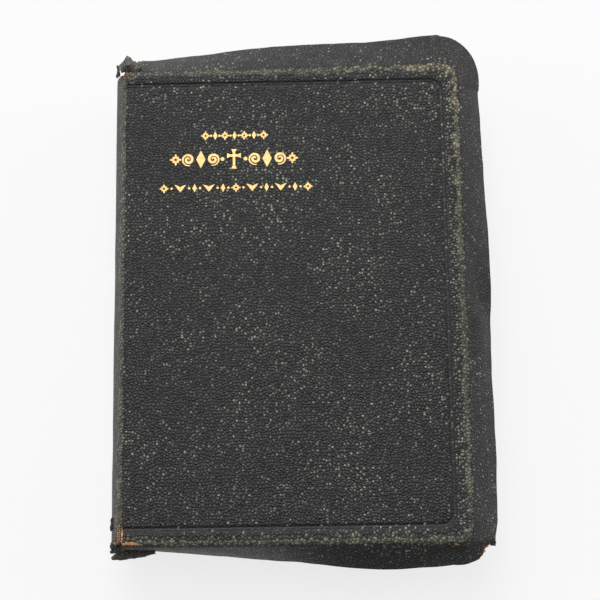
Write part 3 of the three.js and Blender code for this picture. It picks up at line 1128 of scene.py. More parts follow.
@dataclass
class Spine:
    """The spine's leather, in five pieces: each spans one place where two groups of leaves part, or a cover's
    hinge.
    """

    layout: Layout
    arc: SpineArc
    leather: bpy.types.Material
    face_drop: float  # how far the panel lies below the cover's highest line
    head: float = 86.0
    tail: float = 86.3
    thickness: float = 1.0
    step_along: float = 1.1
    step_round: float = 0.6
    shoulder: float = 14.1  # height above the middle where the arc turns into the joint
    fray: float = 0.9
    head_lip: float = 2.4  # how much further the leather reaches at the head, away from the joint
    edge_bulge: float = 0.25
    waviness: float = 0.16

    BODIES = ("back_cover", "rear_text", "rear_middle_text", "front_middle_text", "front_text", "front_cover")
    GROUPS = ("rear", "rear_middle", "front_middle", "front")
    JOINTS = ("back_cover_hinge", "rear_opening", "reading_opening", "front_opening", "front_cover_hinge")
    COVER_TURNS = {"back_cover_hinge": (-1.6, 1.7), "front_cover_hinge": (1.6, 1.7)}
    OPENING_TURN = (0.0, 2.0)
    LEAVE, ARRIVE = 1.6, 1.2  # how strongly the profile keeps its heading at the arc and at the joint
    INSIDE = -60.0  # a distance past the crest that keeps its wear away

    def build(self) -> list[bpy.types.Object]:
        """Makes the five pieces, one for each joint."""
        line = self._profile()
        run = run_along(line)
        cuts = self._cuts(line, run)
        pieces = []
        for n, joint in enumerate(self.JOINTS):
            piece = self._strip(n, line, run, cuts[n], cuts[n + 1])
            start, end = self._turn(joint)
            self.BODIES[n + 1]
            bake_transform(piece)
            pieces.append(piece)
        for piece, group in zip(pieces, self.GROUPS):
            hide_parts(f"{group}_spine_leather")
        return pieces

    def _profile(self) -> np.ndarray:
        """Returns the leather's outer line from the back joint, round the spine, to the front joint."""
        middle, radius = self.arc.centre_z, self.arc.leather
        top = self.layout.top - self.face_drop
        half_angle = math.asin(self.shoulder / radius)
        angles = np.linspace(-half_angle, half_angle, 90)
        across, up = self.arc.centre_x - radius * np.cos(angles), middle + radius * np.sin(angles)
        arc = np.column_stack([across, up])
        heading = np.array([math.sin(half_angle), math.cos(half_angle)]) * self.LEAVE
        approach = np.array([self.ARRIVE, 0.0])
        end, low_end = np.array([self.layout.JOINT_GAP, top]), np.array([self.layout.JOINT_GAP, 0.0])
        front = self._curve(arc[-1], arc[-1] + heading, end - approach, end)
        back = self._curve(low_end, low_end - approach, arc[0] + heading * np.array([1.0, -1.0]), arc[0])
        return np.vstack([back[:-1], arc, front[1:]])

    @staticmethod
    def _curve(a: np.ndarray, b: np.ndarray, c: np.ndarray, d: np.ndarray, steps: int = 12) -> np.ndarray:
        """Returns points of the Bezier curve with those four controls."""
        t = np.linspace(0.0, 1.0, steps + 1)[:, None]
        return a * (1 - t) ** 3 + b * 3 * t * (1 - t) ** 2 + c * 3 * t**2 * (1 - t) + d * t**3

    def _cuts(self, line: np.ndarray, run: np.ndarray) -> list[float]:
        """Returns the places along the profile where one piece ends and the next begins."""
        places = [0.0]
        for group in self.GROUPS:
            low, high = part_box(f"{group}_spine_lining")
            places.append(float(np.interp((low.z + high.z) / 2 / MM, line[:, 1], run)))
        return [*places, float(run[-1])]

    def _turn(self, joint: str) -> tuple[Vector, Vector]:
        """Returns where a piece starts and ends turning, in the frame's metres."""
        pivot = hinge_at(self.layout, joint)
        out, up = self.COVER_TURNS.get(joint, self.OPENING_TURN)
        across = Vector((out, 0.0, up)) / 2
        placed = self.layout.place(np.array([list(pivot - across), list(pivot + across)]))
        return Vector(placed[0]), Vector(placed[1])

    def _strip(self, n: int, line: np.ndarray, run: np.ndarray, low: float, high: float) -> bpy.types.Object:
        """Makes the piece between two places along the profile.

        Args:
            n: its number, from the back joint.
            line: the profile.
            run: how far along the profile its points lie.
            low: where the piece starts.
            high: where it ends.

        Returns:
            The piece.
        """
        columns = max(int((high - low) / self.step_round), 4) + 1
        places = np.linspace(low, high, columns)
        from_front = self.layout.JOINT_GAP - (run[-1] - places)
        rows = int((self.head + self.tail) / self.step_along) + 1
        share = np.linspace(0.0, 1.0, rows)[:, None]
        spots = np.column_stack([places, places * 0, places * 0])
        lip = self.head_lip * step_between(-from_front, 1.0, 5.0)
        head = self.head + (self.fray * ripple(spots, 2.7, 4.0) + lip)
        tail = self.tail + self.fray * ripple(spots, 2.1, 8.0)
        y = share * head[None, :] - (1 - share) * tail[None, :]
        across, up = sampled(places, run, line).T
        across, up, from_front = (np.broadcast_to(row, y.shape).ravel() for row in (across, up, from_front))
        points = np.column_stack([across, y.ravel(), up])
        flat = np.column_stack([from_front, y.ravel(), np.full(y.size, self.INSIDE)])
        ends = np.minimum(head - y, y + tail).ravel()
        skin = Skin(points, grid_faces(rows, columns), flat, ends - 0.15)
        inside = np.hypot(points[:, 0] - self.arc.centre_x, points[:, 2] - self.arc.centre_z)
        free = step_between(ends, 0.0, 4.0) * step_between(self.arc.leather - inside, -0.5, 0.2)
        skin.points = skin.points + skin.normals() * (self.waviness * ripple(flat, 11.0, 2.0) * free)[:, None]
        bulge = np.where(ends < 0.05, self.edge_bulge, 0.0)
        return solid_sheet(f"spine_leather_{n + 1}", skin, self.thickness, self.layout, self.leather, bulge)


# ---- Leaves ----


@dataclass
class LeafBundle:
    """A folded section of thin leaves, or a single leaf: its own uneven fore-edge, head and tail."""

    layout: Layout
    arc: SpineArc
    node: str
    body: str
    paper: bpy.types.Material
    edges: bpy.types.Material
    slot: str = "bible_paper"
    corner: float = 6.0
    levels: int = 7
    uneven: float = 0.1
    fold: float = 0.35

    CORNER_STEPS = 7
    SIDE_STEPS = 26

    def build(self) -> bpy.types.Object:
        """Makes the bundle in place of its CAD node."""
        low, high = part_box(self.node)
        draw = random.Random(f"{SEED}{self.node}")
        x1 = high.x / MM - self.layout.joint_x
        x0 = low.x / MM - self.layout.joint_x
        half = (high.y - low.y) / 2 / MM
        zs = np.linspace(low.z / MM, high.z / MM, self.levels + 1)
        middle = (zs[0] + zs[-1]) / 2
        rings, ring_slots = [], []
        for z in zs:
            back = max(float(self.arc.x_at(self.arc.pages, z)), x0 + 0.02)
            turn = abs(z - middle) / max((zs[-1] - zs[0]) / 2, 0.01)
            back += self.fold * turn**3 * min((zs[-1] - zs[0]), 1.0)
            inset = self.uneven * draw.random()
            outline = self._outline(back, x1 - inset, half - self.uneven * draw.random())
            rings.append(np.column_stack([outline, np.full(len(outline), z)]))
        count = len(rings[0])
        points = np.vstack(rings)
        faces: list[Face] = []
        for k in range(self.levels):
            for i in range(count):
                a, b = k * count + i, k * count + (i + 1) % count
                faces.append((a, b, b + count, a + count))
                ring_slots.append(1)
        faces.append(tuple(reversed(range(count))))
        faces.append(tuple(self.levels * count + i for i in range(count)))
        ring_slots += [0, 0]
        materials = [self.paper, self.edges]
        piece = make_piece(f"{self.node}_leaves", points, faces, self.layout, materials, ring_slots)
        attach(piece, self.body)
        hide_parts(self.node)
        return piece

    def _outline(self, x0: float, x1: float, half: float) -> np.ndarray:
        """Returns the leaves' outline, anticlockwise from the tail of the fold."""
        r = self.corner
        turns = [QUARTER * n / self.CORNER_STEPS for n in range(self.CORNER_STEPS + 1)]
        side = [(2 * half - 2 * r) * n / self.SIDE_STEPS for n in range(1, self.SIDE_STEPS)]
        points = [(x0, -half)]
        points += [(x1 - r + r * math.sin(turn), -half + r - r * math.cos(turn)) for turn in turns]
        points += [(x1, -half + r + rise) for rise in side]
        points += [(x1 - r + r * math.cos(turn), half - r + r * math.sin(turn)) for turn in turns]
        return np.array([*points, (x0, half)])


@dataclass
class Endband:
    """A length of cord wound with two colours of thread, at the head or the tail of the backs."""

    layout: Layout
    arc: SpineArc
    node: str
    body: str
    thread: bpy.types.Material
    ridge: float = 0.07
    pitch: float = 0.42

    SIDES = 12
    STEPS_A_TURN = 5

    def build(self) -> bpy.types.Object:
        """Makes the wound band in place of its CAD node."""
        low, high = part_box(self.node)
        z0, z1 = low.z / MM, high.z / MM
        middle_y = (low.y + high.y) / 2 / MM - self.layout.middle_y
        radius = (high.y - low.y) / 2 / MM
        along = self.arc.pages - radius
        steps = max(int((z1 - z0) / self.pitch * self.STEPS_A_TURN), 8)
        zs = np.linspace(z0, z1, steps + 1)
        rings, flats = [], []
        for n, z in enumerate(zs):
            lift = (z - self.arc.centre_z) / along
            out = np.array([-math.sqrt(max(1 - lift**2, 0.0)), 0.0, lift])
            centre = np.array([self.arc.centre_x, middle_y, self.arc.centre_z]) + out * along
            end = min(n, steps - n) / self.STEPS_A_TURN
            swell = radius - self.ridge + self.ridge * abs(math.sin(math.pi * (z - z0) / self.pitch))
            size = swell * min(1.0, 0.55 + 0.45 * end)
            for k in range(self.SIDES):
                turn = math.tau * k / self.SIDES
                sideways = np.array([0, 1, 0]) * size * math.sin(turn)
                rings.append(centre + out * size * math.cos(turn) + sideways)
                flats.append((0.0, z - z0, turn))
        faces: list[Face] = []
        for n in range(steps):
            for k in range(self.SIDES):
                a, b = n * self.SIDES + k, n * self.SIDES + (k + 1) % self.SIDES
                faces.append((a, a + self.SIDES, b + self.SIDES, b))
        faces.append(tuple(range(self.SIDES)))
        faces.append(tuple(reversed(range(steps * self.SIDES, (steps + 1) * self.SIDES))))
        name, extra = f"{self.node}_wound", {"flat": np.array(flats)}
        piece = make_piece(name, np.array(rings), faces, self.layout, [self.thread], attributes=extra)
        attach(piece, self.body)
        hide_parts(self.node)
        return piece


# ---- Gold ----


class Figure(Enum):
    """The small stamps that the rows of gold are made of."""

    LOZENGE = "lozenge"
    ROSETTE = "rosette"
    DOT = "dot"
    LEAF = "leaf"
    SCROLL = "scroll"
    CROSS = "cross"


@dataclass
class Stroke:
    """A line of leaf that swells and thins: its middle points and half widths, in a unit square."""

    middle: list[Span]
    widths: list[float]


def even_steps(count: int) -> list[float]:
    """Returns count + 1 even steps from 0 to 1."""
    return [n / count for n in range(count + 1)]


def rosette_petal(number: int, petals: int = 8) -> Stroke:
    """Returns one petal of a rosette; every other one is short."""
    turn = math.tau * number / petals
    root, tip = 0.1, 0.36 if number % 2 else 0.5
    places = [root + (tip - root) * t for t in even_steps(6)]
    middle = [(place * math.cos(turn), place * math.sin(turn)) for place in places]
    return Stroke(middle, [0.015 + 0.085 * math.sin(math.pi * t) for t in even_steps(6)])


def figure_strokes(figure: Figure, mirror: bool) -> list[Stroke]:
    """Returns the strokes of a stamp, drawn 1 high and centred on the origin."""
    flip = -1.0 if mirror else 1.0
    if figure is Figure.LOZENGE:
        return [Stroke([(0, -0.5), (0, 0.0), (0, 0.5)], [0.01, 0.26, 0.01])]
    if figure is Figure.DOT:
        return [Stroke([(0, -0.15), (0, -0.07), (0, 0.07), (0, 0.15)], [0.03, 0.14, 0.14, 0.03])]
    if figure is Figure.ROSETTE:
        return [rosette_petal(n) for n in range(8)]
    if figure is Figure.LEAF:
        arches = [(t, math.sin(math.pi * t)) for t in even_steps(12)]
        bend = [(flip * (0.34 - 0.62 * t + 0.22 * arch), -0.42 + 0.84 * t) for t, arch in arches]
        return [Stroke(bend, [0.012 + 0.17 * arch**1.2 for _, arch in arches])]
    if figure is Figure.SCROLL:
        turns = [(3.6 * math.pi * t, 0.06 + 0.4 * t) for t in even_steps(40)]
        curl = [(flip * (reach * math.cos(turn) - 0.05), reach * math.sin(turn)) for turn, reach in turns]
        return [Stroke(curl, [0.03 + 0.065 * math.sin(math.pi * t) for t in even_steps(40)])]
    upright = [(0, place) for place in (-0.5, -0.42, -0.34, 0.34, 0.42, 0.5)]
    arms = [(place, 0.17) for place in (-0.34, -0.27, -0.2, 0.2, 0.27, 0.34)]
    upright_widths, arm_widths = [0.13, 0.11, 0.06, 0.06, 0.11, 0.13], [0.12, 0.1, 0.06, 0.06, 0.1, 0.12]
    return [Stroke(upright, upright_widths), Stroke(arms, arm_widths)]


@dataclass(frozen=True)
class Stamp:
    """One figure in a row: what it is, its size, and the space that it takes."""

    figure: Figure
    size: float
    width: float
    mirror: bool = False


@dataclass
class GoldRow:
    """One row of stamped ornaments."""

    name: str
    left: float
    right: float
    centre_y: float
    stamps: tuple[Stamp, ...]


@dataclass
class GoldWork:
    """The rows of gold stamped into the front cover."""

    cover: Cover
    gold: bpy.types.Material
    lift: float = 0.1
    leaf_thickness: float = 0.05

    def rows(self) -> list[GoldRow]:
        """Returns the rows: a short one, a tall device, and a long band."""
        lozenge, rosette = Stamp(Figure.LOZENGE, 3.2, 2.3), Stamp(Figure.ROSETTE, 3.5, 3.7)
        dot = Stamp(Figure.DOT, 3.0, 1.4)
        short = (rosette, dot, lozenge, dot, rosette, dot, lozenge, dot, rosette, dot, lozenge, dot, rosette)
        leaf_a, leaf_b = Stamp(Figure.LEAF, 3.3, 2.3), Stamp(Figure.LEAF, 3.3, 2.3, mirror=True)
        sprig = (leaf_a, leaf_b, dot, lozenge, dot)
        half_long = (rosette, dot, *sprig, *sprig)
        long = (*half_long, rosette, dot, *sprig, *sprig, rosette)
        tall = [
            Stamp(Figure.ROSETTE, 4.4, 4.6), Stamp(Figure.SCROLL, 5.2, 6.2), Stamp(Figure.LOZENGE, 6.6, 3.6),
            Stamp(Figure.SCROLL, 5.2, 5.8, mirror=True), Stamp(Figure.DOT, 5.0, 2.4),
        ]
        mirrored = [Stamp(s.figure, s.size, s.width, not s.mirror) for s in reversed(tall)]
        device = (*tall, Stamp(Figure.CROSS, 7.6, 7.0), *mirrored)
        return [
            GoldRow("gold_short_row", 28.5, 53.2, 62.5, short),
            GoldRow("gold_device", 16.8, 64.4, 53.4, device),
            GoldRow("gold_long_row", 12.6, 70.0, 42.3, long),
        ]

    def build(self) -> list[bpy.types.Object]:
        """Makes each row as one piece of foil on the front cover."""
        return [self._row(row) for row in self.rows()]

    def _row(self, row: GoldRow) -> bpy.types.Object:
        """Makes one row."""
        total = sum(stamp.width for stamp in row.stamps)
        stretch = (row.right - row.left) / total
        points: list[Span] = []
        faces: list[Face] = []
        place = row.left
        for stamp in row.stamps:
            centre = place + stamp.width * stretch / 2
            for stroke in figure_strokes(stamp.figure, stamp.mirror):
                self._lay(stroke, centre, row.centre_y, stamp.size, points, faces)
            place += stamp.width * stretch
        plan = np.array(points)
        top = self.cover.face_height(plan) + self.lift
        upper = np.column_stack([plan, top])
        count = len(plan)
        lower = upper - np.array([0, 0, self.leaf_thickness])
        both = [*faces, *[tuple(i + count for i in reversed(f)) for f in faces]]
        both += [(b, a, a + count, b + count) for a, b in open_edges(faces)]
        flat = np.column_stack([np.vstack([plan, plan]), np.zeros(2 * count)])
        piece = make_piece(
            row.name, np.vstack([upper, lower]), both, self.cover.layout, [self.gold],
            attributes={"flat": flat}, smooth=False,
        )
        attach(piece, "front_cover")
        return piece

    @staticmethod
    def _lay(
        stroke: Stroke, x: float, y: float, size: float, points: list[Span], faces: list[Face]
    ) -> None:
        """Adds a stroke's leaf to a row's points and faces.

        Args:
            stroke: the stroke.
            x: the middle of its stamp, across the cover.
            y: the same along it.
            size: the stamp's size.
            points: the row's points so far.
            faces: the row's faces so far.
        """
        middle = np.array(stroke.middle, float) * size
        widths = np.array(stroke.widths) * size
        along = unit(np.gradient(middle, axis=0))
        side = np.column_stack([-along[:, 1], along[:, 0]]) * widths[:, None]
        start = len(points)
        for left, right in zip(middle + side, middle - side):
            points.append((x + left[0], y + left[1]))
            points.append((x + right[0], y + right[1]))
        for n in range(len(middle) - 1):
            a, b = start + 2 * n, start + 2 * (n + 1)
            faces.append((a + 1, b + 1, b, a))


# ---- Torn leather ----


class Fray(Enum):
    """What a torn piece shows: rubbed grey leather, dark leather, or the fibres it split along."""

    PALE = "pale"
    DARK = "dark"
    SPLIT = "split"


@dataclass
class Scrap:
    """A torn, curled piece of leather: a ribbon along a bent line, with ragged sides."""

    name: str
    body: str
    line: tuple[tuple[float, float, float], ...]
    widths: tuple[float, ...]
    facing: tuple[tuple[float, float, float], ...]
    thickness: float = 0.55
    ragged: float = 0.5
    cup: float = 0.3
    fray: Fray = Fray.DARK

    STEP = 0.45
    ACROSS = 9
    SHIFT = 7.0  # sets the two sides' raggedness apart
    FREE = 2.5  # a distance past the crest that keeps its wear away
    WAVINESS = 0.22
    EDGE_BULGE = 0.08

    def build(self, layout: Layout, leather: bpy.types.Material) -> bpy.types.Object:
        """Makes the scrap."""
        run = run_along(np.array(self.line, float))
        count = max(int(run[-1] / self.STEP), 4)
        place = np.linspace(0.0, run[-1], count + 1)
        middle = self._smooth(sampled(place, run, self.line))
        width = np.interp(place, run, self.widths)
        face = sampled(place, run, self.facing)
        along = np.gradient(middle, axis=0)
        side = unit(np.cross(face, along))
        up = unit(np.cross(along, side))
        seed = float(sum(map(ord, self.name)) % 50)
        rag_a = ripple(middle + self.SHIFT, 0.9, seed) * self.ragged
        rag_b = ripple(middle - self.SHIFT, 0.9, seed + 9) * self.ragged
        points, flat, tear = [], [], []
        for n in range(count + 1):
            for k in range(self.ACROSS):
                t = 2 * k / (self.ACROSS - 1) - 1
                edge = (rag_a[n] if t > 0 else rag_b[n]) * abs(t)
                reach = t * width[n] / 2 + math.copysign(edge, t) * (abs(t) > 0.01)
                points.append(middle[n] + side[n] * reach - up[n] * self.cup * width[n] * t * t)
                flat.append((place[n] + seed, reach + seed * 3, self.FREE))
                tear.append(min((1 - abs(t)) * width[n] / 2, place[n] + 0.3, run[-1] - place[n]) - 0.1)
        grid = np.array(points)
        grid = grid + self.WAVINESS * np.column_stack([ripple(grid, 1.6, seed + k * 5) for k in range(3)])
        faces = [(a, d, c, b) for a, b, c, d in grid_faces(count + 1, self.ACROSS)]
        skin = Skin(grid, faces, np.array(flat), np.array(tear))
        skin.turn_towards(face.mean(axis=0))
        bulge = np.full(len(grid), self.EDGE_BULGE)
        piece = solid_sheet(self.name, skin, self.thickness, layout, leather, bulge)
        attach(piece, self.body)
        return piece

    @staticmethod
    def _smooth(points: np.ndarray) -> np.ndarray:
        """Returns a line with its corners rounded, its ends kept."""
        for _ in range(3):
            points[1:-1] = (points[:-2] + points[1:-1] * 2 + points[2:]) / 4
        return points


UP, OUT_HEAD, OUT_TAIL, OUT_SPINE = (0, 0, 1), (0, 1, 0.4), (0, -1, 0.4), (-1, 0, 0.5)

SCRAPS = (
    Scrap(
        "head_curl", "front_cover",
        ((8.0, 89.0, 32.2), (5.0, 90.8, 32.8), (2.2, 92.6, 33.2), (-0.6, 94.2, 33.2)),
        (4.4, 6.6, 6.4, 3.0), (UP, UP, OUT_HEAD, UP), cup=0.2, ragged=0.6, fray=Fray.PALE,
    ),
    Scrap(
        "head_lump", "front_cover",
        ((4.8, 89.4, 33.6), (2.0, 90.8, 33.8), (-0.8, 91.2, 33.4), (-2.8, 90.6, 32.8)),
        (2.8, 5.0, 4.8, 3.0), (UP, UP, UP, OUT_SPINE), cup=0.24, ragged=0.7, fray=Fray.PALE,
    ),
    Scrap(
        "head_shred", "front_text",
        ((-3.6, 88.2, 29.6), (-4.0, 89.8, 29.8), (-4.0, 91.4, 30.0), (-3.6, 92.4, 30.2)),
        (1.4, 2.2, 1.8, 0.8), (UP, OUT_SPINE, OUT_SPINE, UP), cup=0.15, ragged=0.4,
    ),
    Scrap(
        "head_thread", "front_text",
        ((-1.0, 85.4, 32.2), (-0.6, 87.6, 32.6), (0.6, 89.4, 32.8)),
        (1.5, 1.2, 0.9), (UP, UP, UP), cup=0.15, ragged=0.3, fray=Fray.SPLIT,
    ),
    # the tail layer's pale leather is painted light: lighter than the real greenish-black layer, to offset
    # the shade it lies in under the cover
    Scrap(
        "tail_layer", "front_text",
        ((11.5, -90.0, 27.4), (5.0, -90.0, 27.0), (0.5, -90.4, 26.6), (-4.2, -92.4, 26.2)),
        (1.6, 4.2, 4.6, 0.9), (UP, UP, UP, UP), cup=0.1, ragged=0.6, fray=Fray.PALE,
    ),
    Scrap(
        "tail_fray", "front_text",
        ((-0.4, -86.4, 31.0), (-2.4, -87.6, 30.2), (-4.4, -88.3, 29.0)),
        (1.8, 3.0, 1.6), (UP, UP, OUT_SPINE), cup=0.22, ragged=0.8,
    ),
    Scrap(
        "tail_fray_low", "front_text",
        ((4.8, -88.8, 30.4), (0.8, -88.8, 30.2), (-2.0, -89.4, 29.4), (-4.4, -90.2, 28.4)),
        (1.2, 2.2, 2.0, 0.9), (UP, OUT_TAIL, UP, UP), cup=0.2, ragged=0.8,
    ),
    Scrap(
        "tail_split", "front_text",
        ((-3.8, -87.2, 31.6), (-2.0, -87.1, 32.9), (-0.4, -87.0, 33.9)),
        (0.7, 1.3, 1.3), (UP, UP, UP), cup=0.1, ragged=0.3, fray=Fray.SPLIT,
    ),
    Scrap(
        "joint_split", "front_text",
        ((-0.5, -80.8, 33.6), (-0.5, -84.0, 34.0), (-0.4, -87.2, 34.1)),
        (0.6, 1.6, 2.2), (UP, UP, UP), cup=0.1, ragged=0.3, fray=Fray.SPLIT,
    ),
    Scrap(
        "spine_chip", "front_text",
        ((-4.0, -78.0, 26.8), (-4.7, -80.2, 26.6), (-4.3, -82.4, 26.8)),
        (0.8, 1.3, 0.8), (UP, OUT_SPINE, UP), cup=0.1, ragged=0.3,
    ),
    Scrap(
        "fore_shred", "front_cover",
        ((130.4, -82.6, 23.6), (131.7, -85.6, 23.4), (132.2, -89.4, 23.6)),
        (3.0, 2.8, 1.4), (UP, UP, UP), cup=0.12, ragged=0.7,
    ),
)


# ---- Lining of the covers, stage and lights ----


@dataclass
class TurnIn:
    """The leather turned in over a board's inner margin, seen round the pastedown when the cover opens."""

    layout: Layout
    side: Side
    leather: bpy.types.Material
    overlap: float = 1.1
    reach: float = 0.6
    thickness: float = 0.22
    inner_corner: float = 1.5
    outer_corner: float = 3.6
    clearance: float = 0.01

    RINGS = 5
    FREE, INTACT = 6.0, 3.0  # distances that stand for no crest and no tear near
    SIDE_STEPS, CORNER_STEPS, FORE_STEPS = 40, 8, 60

    def build(self) -> bpy.types.Object:
        """Makes the margin round three sides of the pastedown."""
        prefix = self.side.name.lower()
        low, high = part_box(f"{prefix}_pastedown")
        board_low, board_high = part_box(f"{prefix}_board")
        x0 = low.x / MM - self.layout.joint_x
        x1 = high.x / MM - self.layout.joint_x - self.overlap
        half = (high.y - low.y) / 2 / MM - self.overlap
        far = board_high.x / MM - self.layout.joint_x + self.reach
        far_half = (board_high.y - board_low.y) / 2 / MM + self.reach
        front = self.side is Side.FRONT
        level = high.z / MM + self.clearance if front else low.z / MM - self.clearance
        inner = self._line(x0, x1, half, self.inner_corner)
        outer = self._line(x0, far, far_half, self.outer_corner)
        places = np.vstack([inner + (outer - inner) * t for t in even_steps(self.RINGS)])
        count = len(places)
        points = np.column_stack([places, np.full(count, level)])
        flat = np.column_stack([places, np.full(count, self.FREE)])
        skin = Skin(points, grid_faces(self.RINGS + 1, len(inner)), flat, np.full(count, self.INTACT))
        skin.turn_towards(np.array([0, 0, -self.side.value]))
        name = f"{prefix}_turn_in"
        piece = solid_sheet(name, skin, self.thickness, self.layout, self.leather, np.zeros(count))
        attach(piece, f"{prefix}_cover")
        return piece

    def _line(self, x0: float, x1: float, half: float, radius: float) -> np.ndarray:
        """Returns three sides of a rounded rectangle, from the head of the joint to its tail."""
        x, y = x1 - radius, half - radius
        turns = [QUARTER * t for t in even_steps(self.CORNER_STEPS)[1:]]
        points = [(x0 + (x - x0) * t, half) for t in even_steps(self.SIDE_STEPS)]
        points += [(x + radius * math.sin(turn), y + radius * math.cos(turn)) for turn in turns]
        points += [(x1, y * (1 - 2 * t)) for t in even_steps(self.FORE_STEPS)[1:]]
        points += [(x + radius * math.cos(turn), -y - radius * math.sin(turn)) for turn in turns]
        points += [(x - (x - x0) * t, -half) for t in even_steps(self.SIDE_STEPS)[1:]]
        return np.array(points)


@dataclass(frozen=True)
class Softbox:
    """A square soft light: its place and size in metres, turned to the middle of the book."""

    name: str
    place: tuple[float, float, float]
    size: float
    power: float

    def build(self) -> None:
        """Makes the light."""
        data = bpy.data.lights.new(self.name, "AREA")
        data.size, data.energy = self.size, self.power
        light = bpy.data.objects.new(self.name, data)
        light.location = self.place
        light.rotation_euler = (-Vector(self.place)).to_track_quat("-Z", "Y").to_euler()
        bpy.context.scene.collection.objects.link(light)


SOFTBOXES = (
    Softbox("head_softbox", (-0.4, 2.3, 1.7), 1.8, 46.0),
    Softbox("over_softbox", (-0.1, 1.0, 2.5), 1.8, 24.0),
    Softbox("spine_softbox", (-2.2, 0.5, 0.9), 1.2, 14.0),
    Softbox("fore_softbox", (2.2, 0.9, 1.1), 1.2, 15.0),
)


@dataclass
class Studio:
    """The camera, the pale floor and the soft lights."""

    layout: Layout
    focal_mm: float = 90.0
    sensor_mm: float = 36.0
    distance: float = 545.84
    look_at: tuple[float, float, float] = (64.436, -0.712, 34.0)
    tilt: float = 0.21167
    yaw: float = 0.01805
    roll: float = -0.01345
    floor_reach: float = 12.0  # in metres
    floor_grey: Colour = (0.17, 0.17, 0.17)
    floor_glow: Colour = (1.0, 0.998, 0.995)
    floor_glow_strength: float = 0.79
    sky: Colour = (0.97, 0.985, 1.0)
    sky_strength: Span = (0.03, 0.53)  # towards the tail, and towards the head

    def build(self) -> None:
        """Makes the camera, the floor, the lights and the surrounding light."""
        self._camera()
        self._floor()
        for softbox in SOFTBOXES:
            softbox.build()
        self._room()

    def _room(self) -> None:
        """Makes the light that comes from all round, stronger from the head."""
        world = bpy.data.worlds.new("soft_room")
        world.use_nodes = True
        tree = world.node_tree
        where = tree.nodes.new("ShaderNodeTexCoord").outputs["Generated"]
        parts = tree.nodes.new("ShaderNodeSeparateXYZ")
        tree.links.new(where, parts.inputs[0])
        towards_head = Signal(tree, parts.outputs[1]).between(-0.7, 0.7)
        weak, strong = self.sky_strength
        back = tree.nodes["Background"]
        back.inputs[0].default_value = (*self.sky, 1.0)
        tree.links.new((towards_head * (strong - weak) + weak).socket, back.inputs[1])
        bpy.context.scene.world = world
        bpy.context.scene.view_settings.view_transform = "Standard"

    def _camera(self) -> None:
        """Places the camera above the tail of the book, looking down."""
        yaw, tilt = Matrix.Rotation(self.yaw, 3, "Y"), Matrix.Rotation(self.tilt, 3, "X")
        turn = yaw @ tilt @ Matrix.Rotation(self.roll, 3, "Z")
        back = turn @ Vector((0.0, 0.0, 1.0))
        aim = Vector(self.layout.place(np.array([self.look_at]))[0])
        data = bpy.data.cameras.new("camera")
        data.lens, data.sensor_width = self.focal_mm, self.sensor_mm
        camera = bpy.data.objects.new("camera", data)
        camera.matrix_world = Matrix.Translation(aim + back * self.distance * MM) @ turn.to_4x4()
        bpy.context.scene.collection.objects.link(camera)
        bpy.context.scene.camera = camera

    def _floor(self) -> None:
        """Makes the floor."""
        mesh = bpy.data.meshes.new("floor")
        reach = self.floor_reach
        corners = [(-reach, -reach, 0), (reach, -reach, 0), (reach, reach, 0), (-reach, reach, 0)]
        mesh.from_pydata(corners, [], [(0, 1, 2, 3)])
        recipe = Recipe("pale_floor")
        inputs = {"Base Color": self.floor_grey, "Roughness": 0.9, "Specular IOR Level": 0.1}
        inputs |= {"Emission Color": self.floor_glow, "Emission Strength": self.floor_glow_strength}
        mesh.materials.append(recipe.finish(inputs))
        floor = bpy.data.objects.new("floor", mesh)
        bpy.context.scene.collection.objects.link(floor)


# ---- The book ----

TEXT_BODIES = {
    "rear": "rear_text",
    "rear_middle": "rear_middle_text",
    "front_middle": "front_middle_text",
    "front": "front_text",
}
SECTIONS_A_GROUP = 5


LEATHER = LeatherFinish("pebbled_leather", tooling=Tooling())
SPINE_LEATHER = LeatherFinish("rubbed_spine_leather", overall_wear=0.42, joint_wear=1.05)
BACK_LEATHER = LeatherFinish("back_leather", fleck_share=0.14, crest_wear=0.8)
INNER_LEATHER = LeatherFinish("turned_in_leather", crest_wear=0.0, joint_wear=0.0, fleck_share=0.02)
TORN_LEATHER = LeatherFinish(
    "torn_leather", dark=(0.02, 0.022, 0.019), overall_wear=0.5, joint_wear=0.0, pebble_mm=0.8
)
SCRAP_LEATHERS = {
    Fray.PALE: replace(
        TORN_LEATHER,
        name="frayed_leather",
        valley_shade=(0.035, 0.034, 0.03),
        dark=(0.1, 0.098, 0.088),
        soft=(0.3, 0.29, 0.25),
    ),
    Fray.DARK: TORN_LEATHER,
    Fray.SPLIT: LeatherFinish(
        "split_leather",
        dark=(0.36, 0.15, 0.06),
        soft=(0.75, 0.48, 0.28),
        fleck=(0.85, 0.64, 0.4),
        joint_wear=0.0,
        pebble_mm=0.7,
    ),
}


